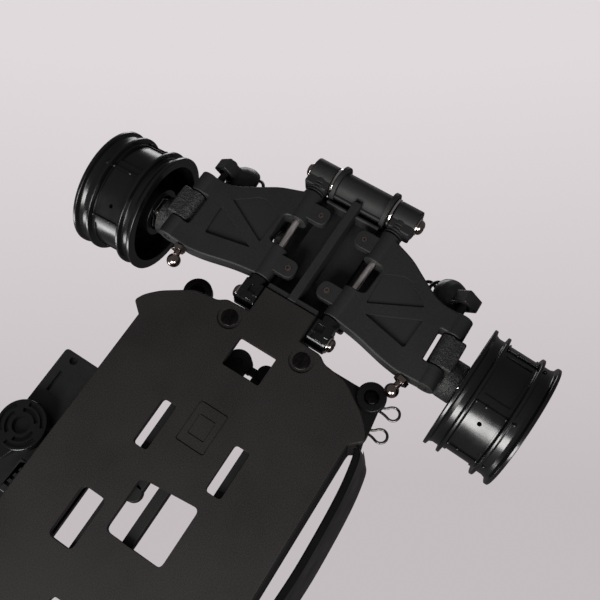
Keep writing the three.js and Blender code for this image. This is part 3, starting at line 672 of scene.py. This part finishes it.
def lower_bulkhead():
    side = [(-36, 11), (-34.5, 13.6, 1), (-28, 13.6, 1), (-27, 11), (7.7, 11, 1)]
    plate = prism([*mirrored(side, 1), *mirrored(side, -1)[::-1]], 17.2, 19.4)
    keel = block(-34.8, 7.9, -1.5, 1.5, FLOOR, 17.6, 0.3)
    cross = block(6, 7.9, -9.6, 9.6, FLOOR + 0.6, 17.6, 0.3)
    tube = rod((TUBE_X, -9.6, TUBE_Z), (TUBE_X, 9.6, TUBE_Z), 5.4, 0.2, 64)
    rings = [rod((TUBE_X, s * 9.2, TUBE_Z), (TUBE_X, s * 10.9, TUBE_Z), 7.2, 0.3, 72)
             for s in (-1, 1)]
    neck = block(-37, -34, -9.6, 9.6, 14, 19.4)
    bars = []
    for x in (-34.6, -31.4):
        for s in (1, -1):
            bars.append(rod((x, s * 1, 12.9), (x, s * 10.4, 12.9), 0.75, 0.15, 24))
            bars.append(block(x - 0.7, x + 0.7, s * 1, s * 10.4, 12.9, 17.6, 0.15))
    return join(plate, keel, cross, tube, *rings, neck, *bars)


def pin_holder_aft(s):
    """Lug bolted sideways to the tube, with a grooved boss round the inner pin."""
    lug = rod((TUBE_X, s * 12.5, LUG_Z), (TUBE_X, s * 21, LUG_Z), 5.4, 0.45, 56)
    web = block(TUBE_X, -33.2, s * 12.5, s * 21, PIN_Z - 3.2, PIN_Z + 3.4, 0.6)
    start, stop = Vector(inner_pin(TUBE_X, s)), Vector(inner_pin(-31.6, s))
    length = (stop - start).length
    profile = [(0, 0), (3.5, 0)]
    for k in range(3):
        d = length - 3.6 + k * 1.2
        profile += [(3.5, d), (3.0, d + 0.15), (3.0, d + 0.55), (3.5, d + 0.7)]
    profile += [(3.5, length), (0, length)]
    boss = turned(profile, start, stop, 48, 0.1)
    bore = rod(inner_pin(-41.5, s), inner_pin(14.5, s), BORE_R, 0)
    return cut(join(lug, web, boss), bore)


def pin_holder_fore(s):
    """Chunky polished holder with a stepped recess in its underside."""
    lug = rod((FORE_LUG_X, s * 10.4, LUG_Z), (FORE_LUG_X, s * 17.4, LUG_Z), 3.9, 0.3, 48)
    web = block(8, FORE_LUG_X, s * 10.4, s * 17.4, PIN_Z - 3.2, PIN_Z + 3.4, 0.5)
    boss = rod(inner_pin(5.8, s), inner_pin(15, s), 3.5, 0.3, 48)
    pocket = block(9.4, 12.4, s * 11.6, s * 14.6, PIN_Z - 5, PIN_Z - 2.5, 0.1)
    bore = rod(inner_pin(-41.5, s), inner_pin(14.5, s), BORE_R, 0)
    return cut(join(lug, web, boss), pocket, bore)


def outwards(x, s, y):
    """A place on a holder's outer face, and one further out on the same line."""
    return (x, s * y, LUG_Z), (x, s * 30, LUG_Z)


def holder_washers(s):
    """Bright washers under both holder screws, and a shim between the tube and its lug."""
    shim = washer((TUBE_X, s * 11.3, TUBE_Z), (TUBE_X, s * 20, TUBE_Z), 5.75, 0.8, 2)
    aft = washer(*outwards(TUBE_X, s, 21.05))
    fore = washer(*outwards(FORE_LUG_X, s, 17.45), 3.1)
    return gather(aft, fore, shim)


def holder_screws(s):
    aft = pan_screw(*outwards(TUBE_X, s, 21.6))
    fore = pan_screw(*outwards(FORE_LUG_X, s, 18), 2.4, 1.7)
    return gather(aft, fore)


def upper_bulkhead(wide):
    outline = [(-wide, 19.7), (wide, 19.7), (wide, 38, 4), (7, 44, 3), (-7, 44, 3), (-wide, 38, 4)]
    shell = prism(outline, -13.4, 5.5, 0.6, "yz")
    hollow = prism([(-wide + 2, 18), (wide - 2, 18), (wide - 2, 37, 3), (6, 42, 2), (-6, 42, 2),
                    (-wide + 2, 37, 3)], -11.4, 3.5, 0, "yz")
    port = rod((DIFF_X, -20, DIFF_Z), (DIFF_X, 20, DIFF_Z), 5, 0)
    seam = [block(-4.3, -3.9, s * (wide + 1), s * (wide - 0.35), 22, 50, 0) for s in (1, -1)]
    flange = prism([(-30, -18.5, 2), (6, -18.5, 1), (6, 18.5, 1), (-30, 18.5, 2)], 19.7, 21.5)
    return cut(join(shell, flange), hollow, port, *seam)


def shock_tower():
    wings = [(-11, 21.8), (11, 21.8), (12.5, 34, 4), (22, 48, 2), (21, 55.5, 2), (13, 56, 2),
             (6, 47, 4), (-6, 47, 4), (-13, 56, 2), (-21, 55.5, 2), (-22, 48, 2), (-12.5, 34, 4)]
    studs = [rod((-14, s * SHOCK_TOP[0], SHOCK_TOP[1]), (-29, s * SHOCK_TOP[0], SHOCK_TOP[1]), 1.5)
             for s in (1, -1)]
    holes = [rod((-17.5, s * 8.5, 40), (-12, s * 8.5, 40), 1.6, 0) for s in (1, -1)]
    dishes = [prism([(s * 9.5, 31, 1), (s * 17.5, 46, 1), (s * 9, 44, 1)], -17.4, -15.7, 0, "yz")
              for s in (1, -1)]
    return join(cut(prism(wings, -16.4, -13.8, 0.45, "yz"), *holes, *dishes), *studs)


def wishbone(s, ears, outer_y):
    """Lower arm: two inner barrels, screw tabs, two plain recesses and two outer ears."""
    aft_end, aft_in, fore_in, fore_end = ears
    edge = outer_y - 4.6
    body = [(-30.5, 16.4), (-29, 20, 1), (-26.6, 26.8, 3), (-23.3, 32, 4), (-18.6, 40, 3),
            (aft_end, 44, 1), (aft_end, outer_y), (aft_in, outer_y), (aft_in, edge, 0.8),
            (fore_in, edge, 0.8), (fore_in, outer_y), (fore_end, outer_y), (fore_end + 0.6, 41, 1.5),
            (9.4, 35.4, 2), (6.8, 24.4, 3), (5.4, 14.6), (-7, 15.2), (-7.6, 19, 1.5),
            (-18.4, 19.6, 1.5), (-19, 16)]
    plate = prism(mirrored(body, s), *ARM_Z, 0.7)
    bars = [rod(inner_pin(-31, s), inner_pin(-19, s), BARREL_R, 0.4, 48),
            rod(inner_pin(-7, s), inner_pin(5.4, s), BARREL_R, 0.4, 48),
            rod((aft_end, s * outer_y, PIN_Z), (aft_in, s * outer_y, PIN_Z), BARREL_R, 0.4, 48),
            rod((fore_in, s * outer_y, PIN_Z), (fore_end, s * outer_y, PIN_Z), BARREL_R, 0.4, 48)]
    for x, y in ((-24.5, 9), (-1.8, 8)):
        tab = [(x - 3.2, 15), (x - 3.4, y - 3.4, 3), (x + 3.4, y - 3.4, 3), (x + 3.2, 15)]
        bars.append(prism(mirrored(tab, s), 10.6, 13.6, 0.3))
    stud_end = SHOCK_X - 3.6
    bars.append(rod((aft_end + 1, s * SHOCK_LOW[0], SHOCK_LOW[1]),
                    (stud_end, s * SHOCK_LOW[0], SHOCK_LOW[1]), 1.4))
    bars.append(block(aft_end, aft_end + 3, s * 44.5, s * 50.4, 13, 17.6, 0.4))
    recess_corner = [(-9.5, 40, 1), (2.2, 39.2, 1), (-1.2, 22.5, 1)]
    recess_wide = [(-13.4, 38.2, 1), (-4.6, 21, 1), (-16.8, 20.6, 1), (-20.4, 29, 3)]
    pockets = [prism(mirrored(recess_corner, s), 9, 11.2, 0),
               prism(mirrored(recess_wide, s), 9, 10.8, 0)]
    bores = [rod(inner_pin(-34, s), inner_pin(9, s), BORE_R, 0),
             rod((-22, s * outer_y, PIN_Z), (14, s * outer_y, PIN_Z), BORE_R, 0),
             rod((-24.5, s * 8.7, 9), (-24.5, s * 8.7, 15), 1.1, 0),
             rod((-1.8, s * 7.7, 9), (-1.8, s * 7.7, 15), 1.3, 0)]
    return cut(join(plate, *bars), *pockets, *bores)


def shock_point(s, d):
    t = d / SHOCK_LEN
    return (SHOCK_X, s * (SHOCK_LOW[0] + (SHOCK_TOP[0] - SHOCK_LOW[0]) * t),
            SHOCK_LOW[1] + (SHOCK_TOP[1] - SHOCK_LOW[1]) * t)


def shock_eye(s, d):
    _, y, z = shock_point(s, d)
    return rod((SHOCK_X - 2.4, y, z), (SHOCK_X + 2.4, y, z), 3.9, 0.5, 48)


def eye_bore(s, d, radius):
    _, y, z = shock_point(s, d)
    return rod((SHOCK_X - 6, y, z), (SHOCK_X + 6, y, z), radius, 0)


def shock_rod(s):
    """Lower half of a damper: a square eye block, a domed spring cup and the thin shaft."""
    start, toward = shock_point(s, 0), shock_point(s, SHOCK_LEN)
    eye = block(-3.5, 3.5, -2.4, 2.4, -3.5, 3.5, 0.5)
    eye.data.transform(frame_along(start, toward) @ Matrix.Rotation(math.pi / 2, 4, "Z"))
    cup = turned([(0, 2.6), (3.6, 2.6), (5.6, 4.4), (6.9, 6.6), (7.2, 8), (7.2, CUP), (6.7, CUP),
                  (6.4, 9.1), (0, 9.1)], start, toward, 56, 0.35)
    shaft = rod(shock_point(s, 8), shock_point(s, 31), 1.1)
    return cut(join(eye, cup, shaft), eye_bore(s, 0, 2.5))


def shock_body(s):
    profile = [(0, 24), (3.4, 24), (4.4, 25.4), (4.4, SEAT + GAP), (6.7, SEAT + GAP)]
    profile += [(6.7, SEAT + 2.2), (4.8, SEAT + 2.6)]
    for k in range(3):
        d = SEAT + 3 + k * 1.2
        profile += [(4.8, d), (4.5, d + 0.3), (4.8, d + 0.6)]
    profile += [(4.8, 42), (3, 43.6), (0, 43.6)]
    can = turned(profile, shock_point(s, 0), shock_point(s, SHOCK_LEN), 56, 0.15)
    neck = rod(shock_point(s, 42), shock_point(s, SHOCK_LEN - 2), 2.4)
    well = rod(shock_point(s, 23), shock_point(s, 40), 1.5, 0)
    return cut(join(can, shock_eye(s, SHOCK_LEN), neck), well, eye_bore(s, SHOCK_LEN, 1.5 + GAP))


def coil_spring(s):
    """Five turns of round wire between the cup and the upper seat."""
    turns, radius, gauge, steps = 5, 5.9, 0.62, 28
    low, high = CUP + GAP + gauge, SEAT - gauge
    place = frame_along(shock_point(s, 0), shock_point(s, SHOCK_LEN))
    sides = 12
    rings = []
    total = turns * steps
    for i in range(total + 1):
        a = 2 * math.pi * i / steps
        share = i / total
        d = low + (high - low) * min(1, max(0, share - 0.04 * math.sin(2 * math.pi * share)))
        centre = Vector((radius * math.cos(a), radius * math.sin(a), d))
        outward = Vector((math.cos(a), math.sin(a), 0))
        up = Vector((0, 0, 1))
        rings.append([place @ (centre + (outward * math.cos(b) + up * math.sin(b)) * gauge)
                      for b in (2 * math.pi * k / sides for k in range(sides))])
    return skin(rings)


def axle_point(s, d, toe):
    out = d - RIM_IN
    return (math.sin(toe) * out, s * (RIM_IN + math.cos(toe) * out), RIM_R)


def rear_upright(s):
    y = OUTER_PIN_Y["rear"]
    lower = rod((-9.6, s * y, PIN_Z), (1.6, s * y, PIN_Z), 3.3, 0.4, 48)
    foot = block(-9.6, 1.6, s * 50.6, s * 56, 10, 18, 0.8)
    leg = block(-7, 5, s * 51.4, s * 56, 17.4, 30, 0.8)
    boss = rod(axle_point(s, 54.8, TOE_IN), axle_point(s, 60.2, TOE_IN), 7.2, 0.5, 56)
    bearing = rod(axle_point(s, 48, TOE_IN), axle_point(s, 62, TOE_IN), AXLE_R + GAP, 0)
    pin = rod((-12, s * y, PIN_Z), (4, s * y, PIN_Z), BORE_R, 0)
    return cut(join(lower, foot, leg, boss), bearing, pin)


def hub_carrier(s):
    y = OUTER_PIN_Y["front"]
    lower = rod((-6.6, s * y, PIN_Z), (3.6, s * y, PIN_Z), 3.3, 0.4, 48)

    def lip(x0, x1, z0, z1):
        outline = [(x0, 49.2), (x1, 49.2), (x1, 56.4, 1), (2.6, 59.7, 1), (-2.6, 59.7, 1), (x0, 56.4, 1)]
        return prism(mirrored(outline, s), z0, z1, 0.4)

    bottom = lip(-6, 3.2, 10.2, 12.6)
    back = block(-6.6, 3.6, s * 49.2, s * 51.2, 10.2, 34, 0.4)
    top = lip(-5.6, 5.6, 31.2, 34)
    window = rod((0, s * 46, RIM_R), (0, s * 54, RIM_R), 4, 0)
    pin = rod((-12, s * y, PIN_Z), (9, s * y, PIN_Z), BORE_R, 0)
    king = rod((0, s * KINGPIN_Y, 5), (0, s * KINGPIN_Y, 40), 1.8, 0)
    return cut(join(lower, bottom, back, top), pin, window, king)


def knuckle(s):
    post = rod((0, s * KINGPIN_Y, 10.4), (0, s * KINGPIN_Y, 33.8), 1.5)
    hub = rod((0, s * 53, RIM_R), (0, s * 60, RIM_R), 6.4, 0.5, 56)
    column = block(-4, 4, s * 54, s * 59.6, 13, 30.8, 0.6)
    outline = [(2, 54), (2, 59), (15, 55, 2), (17, 50, 2), (13, 49.6, 2)]
    arm = prism(mirrored(outline, s), 25, 27.6)
    bearing = rod((0, s * 50, RIM_R), (0, s * 64, RIM_R), AXLE_R + GAP, 0)
    hole = rod((14.4, s * 52, 20), (14.4, s * 52, 30), 1.2, 0)
    return cut(join(post, hub, column, arm), bearing, hole)


def axle(s, toe):
    hexagon = turned([(0, 0), (6.3, 0), (6.3, 3.7), (0, 3.7)],
                     axle_point(s, 61.9, toe), axle_point(s, 70, toe), 6, 0.3)
    shaft = rod(axle_point(s, 53.6, toe), axle_point(s, 79.4, toe), AXLE_R, 0.3)
    nut = turned([(0, 0), (3.65, 0), (3.65, 3.4), (0, 3.4)],
                 axle_point(s, 77.9, toe), axle_point(s, 90, toe), 6, 0.35)
    tip = rod(axle_point(s, 78, toe), axle_point(s, 81.35, toe), 1.9, 0.3)
    return join(shaft, hexagon, nut, tip)


def drum_point(angle, r, d, place):
    return place @ Vector((r * math.cos(angle), r * math.sin(angle), d))


def drum_tile(place, a0, a1, r0, r1, d0, d1, steps=14):
    """A block of a drum's wall between two angles, radii and distances."""
    rings = []
    for k in range(steps + 1):
        a = a0 + (a1 - a0) * k / steps
        corners = [(r0, d0), (r1, d0), (r1, d1), (r0, d1)]
        rings.append([drum_point(a, r, d, place) for r, d in corners])
    return skin(rings)


def rim_frames(place, phase):
    """Three raised panel frames on the drum, with round nubs along their sides."""
    half = math.radians(27)
    pads = []
    for k in range(3):
        middle = phase + 2 * math.pi * k / 3
        for side in (-1, 1):
            a = middle + side * half
            pads.append(drum_tile(place, a - 0.014, a + 0.014, 19.5, 20.5, 6, 17.4, 2))
            for d in (6.6, 10, 16.7, 19.5):
                pads.append(ball(drum_point(a, 20.2, d, place), 0.6, 16))
        for d in (6.5, 16.4):
            pads.append(drum_tile(place, middle - half, middle + half, 19.5, 20.4, d, d + 0.45))
    return pads


def rim_dents(place, phase):
    """Three shallow panels in the drum, one between each two frames."""
    half = math.radians(24)
    dents = []
    for k in range(3):
        middle = phase + 2 * math.pi * k / 3
        far = middle + math.pi / 3
        dents.append(drum_tile(place, far - half, far + half, 19.45, 21, 7.2, 16.1))
    return dents


def rim(s, toe, phase):
    """Bare rim: thick rounded lips, two ridges, and a drum with framed panels between them."""
    R = RIM_R
    profile = [(AXLE_R + GAP, 6), (AXLE_R + GAP, 16.6), (8, 16.6), (18.8, 15), (19.4, RIM_W),
               (R, RIM_W), (R, 22.9), (20.6, 22.3), (20.1, 21), (20.1, 18.7), (R, 18.4), (R, 17.4),
               (19.9, 17.1), (19.9, 6.2), (R, 5.9), (R, 4.9), (20.1, 4.6), (20.1, 2.6),
               (20.6, 1.5), (R, 1.1), (R, 0), (18.6, 0), (18.6, 12.4), (9, 12.4), (9, 1.7),
               (6.8, 1.7), (6.8, 6)]
    start, toward = axle_point(s, RIM_IN, toe), axle_point(s, RIM_IN + 10, toe)
    body = turned(profile, start, toward, 128, 0.28, closed=True)
    place = frame_along(start, toward)
    shaped = cut(join(body, *rim_frames(place, phase)), *rim_dents(place, phase))
    a = phase + 4 * math.pi / 3 - 0.19
    hole = rod(drum_point(a, 17, 11, place), drum_point(a, 24, 11, place), 0.75, 0, 24)
    return cut(shaped, hole)


def ball_stud(s):
    """Ball on a thin neck over a hexagonal shoulder, pointing forwards from the arm's edge."""
    x, y, z = 10.6, s * 44, 12.2
    start, toward = (x, y, z), (x + 4, y - s * 0.9, z)
    hexagon = turned([(0, 0), (2.55, 0), (2.55, 1.8), (0, 1.8)], start, toward, 6, 0.25)
    place = frame_along(start, toward)
    neck = rod(start, place @ Vector((0, 0, 4)), 1.15, 0.1, 24)
    return join(hexagon, neck, ball(place @ Vector((0, 0, 5.4)), 2.4))


def differential():
    profile = [(0, -16.5), (3.9, -16.5), (3.9, -9.4), (5.2, -9.2), (5.2, -4.2), (6.9, -4), (6.9, -1),
               (5.4, -0.8), (5.4, 9.2), (3.9, 9.4), (3.9, 16.5), (0, 16.5)]
    x = HALF - DIFF_X
    drum = turned(profile, (x, 0, DIFF_Z), (x, 10, DIFF_Z), 56, 0.2)
    slots = [block(x - 1.1, x + 1.1, s * 11, s * 18, DIFF_Z - 5, DIFF_Z + 5, 0) for s in (1, -1)]
    teeth = []
    for k in range(18):
        a = 2 * math.pi * k / 18
        place = (x + 7.1 * math.sin(a), -4.6, DIFF_Z + 7.1 * math.cos(a))
        teeth.append(rod(place, (place[0], -0.4, place[2]), 0.55, 0, 12))
    return cut(drum, *slots, *teeth)


def servo():
    """Servo case with mounting ears, on a bracket with a ribbed rail along the tub's wall."""
    low = (SERVO_X - 10, SERVO_Y - 8.4)
    high = (SERVO_X + 30, SERVO_Y + 8.4)
    wall = HALF_W + GAP
    x0, x1 = SERVO_X + 8, SERVO_X + 19

    def tray(grow_x, grow_y, f):
        return [(low[0] - grow_x, low[1] - grow_y, f), (high[0] + grow_x, low[1] - grow_y, f),
                (high[0] + grow_x, high[1] + grow_y, f), (low[0] - grow_x, high[1] + grow_y, f)]

    shell = prism(tray(0, 0, 1.5), SERVO_Z, SERVO_Z + 30.5, 0.7)
    ears = prism(tray(7, -1, 1), SERVO_Z + 8, SERVO_Z + 10.5, 0.3)
    boss = rod((SERVO_X, SERVO_Y, SERVO_Z - 1), (SERVO_X, SERVO_Y, SERVO_Z + 1), 3.8, 0.3)
    arm = block(SERVO_X - 2, x1, wall, low[1] + 1, 27, 34)
    web = block(x0, x1, wall, wall + 1.8, 13.6, 28)
    rail = block(x0, x1, wall, wall + 4, 13.6, 15.8)
    cuts = [rod((x, SERVO_Y, 20), (x, SERVO_Y, 40), 2, 0) for x in (low[0] - 4, high[0] + 4)]
    cuts += [block(x0 + k, x0 + k + 1.1, wall + 0.9, wall + 3.2, 12, 14.5, 0) for k in (1.2, 3.4, 5.6, 7.8)]
    for z in (SERVO_Z + 6.2, SERVO_Z + 24):
        outer = prism(tray(1, 1, 0), z, z + 0.4, 0)
        inner = prism(tray(-0.35, -0.35, 1.2), z - 1, z + 1, 0)
        cuts.append(cut(outer, inner))
    return cut(join(shell, ears, boss, arm, web, rail), *cuts)


def servo_horn():
    """Servo saver: a round head with curved ribs in its underside, and a short arm."""
    def at(r, a, z):
        return (SERVO_X + r * math.cos(a), SERVO_Y + r * math.sin(a), z)

    hub = rod((SERVO_X, SERVO_Y, 16), (SERVO_X, SERVO_Y, SERVO_Z - 1.3), 3.4, 0.2)
    head = rod((SERVO_X, SERVO_Y, 13.6), (SERVO_X, SERVO_Y, 17.2), 8.3, 0.5, 72)
    corners = [(6, 1.2), (11.5, 0.4), (13.5, 0.25), (13.5, 0.05), (11.5, -0.1), (6, -0.8)]
    arm = prism([at(r, a, 0)[:2] for r, a in corners], 14.4, 16.8, 0.3)
    eye = rod(at(11.4, 0.15, 13), at(11.4, 0.15, 18), 1.1, 0)
    recess = rod((SERVO_X, SERVO_Y, 13), (SERVO_X, SERVO_Y, 15), 3, 0)
    place = Matrix.Translation((SERVO_X, SERVO_Y, 0))
    dishes = []
    for k in range(3):
        start = 0.5 + 2 * math.pi * k / 3
        dishes.append(drum_tile(place, start, start + 1.5, 4.1, 5.4, 12.8, 14.6))
        dishes.append(drum_tile(place, start + 0.25, start + 1.75, 6.1, 7.4, 12.8, 14.4))
    return cut(join(hub, head, arm), eye, recess, *dishes)


# ---- assembly -----------------------------------------------------------------------------------------
RIM_PHASE = {"rear_left": 0.07, "rear_right": 1.353, "front_left": 0.9, "front_right": 1.7}


def build_corner(end, side, s):
    corner = f"{end}_{side}"
    toe = TOE_IN if end == "rear" else 0
    outer = OUTER_PIN_Y[end]
    ears = (-17.8, -10, 2, 9.6) if end == "rear" else (-13, -7, 4, 9.6)

    def put(name, obj, material, slot, nodes=None, **more):
        nodes = [f"{corner}_{name}"] if nodes is None else nodes
        return add(f"{corner}_{name}_look", obj, end, material, slot, nodes, **more)

    put("inner_pin", rod(inner_pin(-41, s), inner_pin(14, s), PIN_R, 0.3), PIN_STEEL, "steel")
    put("wishbone", wishbone(s, ears, outer), ARM_NYLON, "nylon")
    put("outer_pin", rod((ears[0] + 0.4, s * outer, PIN_Z), (ears[3] - 0.4, s * outer, PIN_Z), PIN_R, 0.3),
        STEEL, "steel")
    screws = gather(grub_screw((-1.8, s * 7.7, 10.7)), grub_screw((-24.5, s * 8.7, 10.7), 1.05))
    put("tab_screws", screws, DARK_STEEL, "steel", [], body=f"{corner}_arm")
    put("shock_body", shock_body(s), SATIN, "case")
    put("shock_rod", shock_rod(s), SATIN, "nylon")
    spring = put("spring", coil_spring(s), SPRING, "spring", body="later", sharp=60)
    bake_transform(spring)
    put("axle", axle(s, toe), STEEL, "steel")
    put("rim", rim(s, toe, RIM_PHASE[corner]), RIM_GLOSS, "gloss")
    if end == "front":
        put("hub_carrier", hub_carrier(s), ARM_NYLON, "nylon")
        put("knuckle", knuckle(s), ARM_NYLON, "nylon")
        return
    put("upright", rear_upright(s), CAST, "nylon")
    put("ball_stud", ball_stud(s), DARK_STEEL, "steel")
    put("pin_holder_aft", pin_holder_aft(s), ARM_NYLON, "nylon")
    put("pin_holder_fore", pin_holder_fore(s), GLOSS, "gloss")
    put("washers", holder_washers(s), STEEL, "steel", [], body="chassis")
    put("holder_screws", holder_screws(s), DARK_STEEL, "steel", [], body="chassis")


def build():
    add("tub_look", tub(), "car", NYLON, "nylon", "tub")
    # The inside pieces take the darker nylon as painted shade.
    add("tub_inside", tub_inside(), "car", PAINTED_SHADE_NYLON, "nylon", body="chassis")
    add("floor_screws", floor_screws(), "car", BLACK_SCREW, "steel", body="chassis")
    add("deck_screws", deck_screws(), "car", BLACK_SCREW, "steel", body="chassis")
    add("upper_deck_look", upper_deck(), "car", SATIN, "nylon", "upper_deck")
    add("side_shelf_look", side_shelf(), "car", SATIN, "nylon", "side_shelf")
    add("side_guard_look", side_guard(), "car", GUARD_GLOSS, "gloss", "side_guard")
    for place, (x, y) in CLIPS.items():
        name = f"body_clip_{place}"
        add(f"{name}_look", body_clip(x, y), "car", WIRE_STEEL, "steel", name)
    for end in ("rear", "front"):
        add(f"{end}_lower_bulkhead_look", lower_bulkhead(), end, ARM_NYLON, "nylon",
            f"{end}_lower_bulkhead")
        add(f"{end}_upper_bulkhead_look", upper_bulkhead(13 if end == "front" else 11), end,
            SATIN, "nylon", f"{end}_upper_bulkhead")
        add(f"{end}_shock_tower_look", shock_tower(), end, ARM_NYLON, "nylon", f"{end}_shock_tower")
        for s in (1, -1):
            side = "left" if (s > 0) == (end == "rear") else "right"
            build_corner(end, side, s)
    add("differential_look", differential(), "car", SATIN, "case", "differential")
    add("steering_servo_look", servo(), "car", SATIN, "case", "steering_servo")
    add("servo_horn_look", servo_horn(), "car", GLOSS, "gloss", "servo_horn")


# ---- stage ----------------------------------------------------------------------------------------------
CAMERA_AT = Vector((-0.0362, -0.0546, -0.2149))
CAMERA_RIGHT = Vector((-0.5384, -0.8422, 0.0279))
CAMERA_UP = Vector((-0.7907, 0.4935, -0.3622))
CAMERA_BACK = Vector((0.2913, -0.2171, -0.9317))
LENS = 43.956
SENSOR = 36
BACKDROP_LOW = (0.545, 0.505, 0.52, 1)
BACKDROP_HIGH = (0.745, 0.7, 0.72, 1)
BACKDROP_SPAN = (-0.24, 0.3)
ROOM_GLOW = 0.15


def camera():
    data = bpy.data.cameras.new("camera")
    data.lens = LENS
    data.sensor_width = SENSOR
    data.clip_start = 0.01
    obj = bpy.data.objects.new("camera", data)
    axes = Matrix((CAMERA_RIGHT, CAMERA_UP, CAMERA_BACK)).transposed()
    obj.matrix_world = Matrix.Translation(CAMERA_AT) @ axes.to_4x4()
    bpy.context.scene.collection.objects.link(obj)
    bpy.context.scene.camera = obj


def world():
    """A pale backdrop that brightens upwards in the picture, and a dim glow for the rest."""
    made = bpy.data.worlds.new("studio")
    bpy.context.scene.world = made
    made.use_nodes = True
    tree = made.node_tree
    shade = tree.nodes["Background"]
    place = tree.nodes.new("ShaderNodeTexCoord")
    upward = tree.nodes.new("ShaderNodeVectorMath")
    upward.operation = "DOT_PRODUCT"
    upward.inputs[1].default_value = CAMERA_UP
    tree.links.new(place.outputs["Generated"], upward.inputs[0])
    ramp = tree.nodes.new("ShaderNodeValToRGB")
    ramp.color_ramp.elements[0].position = 0.0
    ramp.color_ramp.elements[0].color = BACKDROP_LOW
    ramp.color_ramp.elements[1].position = 1.0
    ramp.color_ramp.elements[1].color = BACKDROP_HIGH
    spread = tree.nodes.new("ShaderNodeMapRange")
    spread.inputs["From Min"].default_value = BACKDROP_SPAN[0]
    spread.inputs["From Max"].default_value = BACKDROP_SPAN[1]
    tree.links.new(upward.outputs["Value"], spread.inputs["Value"])
    tree.links.new(spread.outputs["Result"], ramp.inputs["Fac"])
    tree.links.new(ramp.outputs["Color"], shade.inputs["Color"])
    seen = tree.nodes.new("ShaderNodeLightPath")
    level = tree.nodes.new("ShaderNodeMapRange")
    level.inputs["To Min"].default_value = ROOM_GLOW
    level.inputs["To Max"].default_value = 1.0
    tree.links.new(seen.outputs["Is Camera Ray"], level.inputs["Value"])
    tree.links.new(level.outputs["Result"], shade.inputs["Strength"])


def lamp(name, place, target, size, power, colour=(1, 1, 1)):
    data = bpy.data.lights.new(name, "AREA")
    data.shape = "RECTANGLE"
    data.size, data.size_y = size
    data.energy = power
    data.color = colour
    obj = bpy.data.objects.new(name, data)
    obj.location = place
    obj.rotation_euler = (Vector(target) - Vector(place)).to_track_quat("-Z", "Y").to_euler()
    bpy.context.scene.collection.objects.link(obj)


def lights():
    target = Vector((-0.09, 0, 0.02))
    for name, across, power in (("low_left", -0.3, 5.2), ("low_right", 0.16, 1.6)):
        place = target + CAMERA_BACK * 0.5 - CAMERA_UP * 0.36 + CAMERA_RIGHT * across
        lamp(name, place, target, (0.3, 0.3), power, (1.0, 0.985, 0.97))
    lamp("top_front", (0.75, 0.45, 0.34), (0, 0, 0.02), (0.5, 0.3), 4)
    lamp("top_rear", (-0.8, 0.4, 0.3), (0, 0, 0.02), (0.5, 0.3), 1.5)


def floor():
    """A pale floor seen from above only: its underside is clear, as the chassis is shown from below."""
    bm = bmesh.new()
    bmesh.ops.create_grid(bm, x_segments=2, y_segments=2, size=3)
    obj = new_object(bm)
    obj.name = "floor"
    made = bpy.data.materials.new("pale_floor")
    made.use_nodes = True
    tree = made.node_tree
    shader = tree.nodes["Principled BSDF"]
    shader.inputs["Base Color"].default_value = (0.66, 0.65, 0.65, 1)
    shader.inputs["Roughness"].default_value = 0.8
    clear = tree.nodes.new("ShaderNodeBsdfTransparent")
    mix = tree.nodes.new("ShaderNodeMixShader")
    side = tree.nodes.new("ShaderNodeNewGeometry")
    tree.links.new(side.outputs["Backfacing"], mix.inputs["Fac"])
    tree.links.new(shader.outputs["BSDF"], mix.inputs[1])
    tree.links.new(clear.outputs["BSDF"], mix.inputs[2])
    tree.links.new(mix.outputs["Shader"], tree.nodes["Material Output"].inputs["Surface"])
    obj.data.materials.append(made)
    obj.visible_shadow = False
    obj.visible_diffuse = False
    obj.visible_glossy = False


build()
camera()
world()
lights()
floor()
bpy.context.scene.view_settings.view_transform = "Standard"
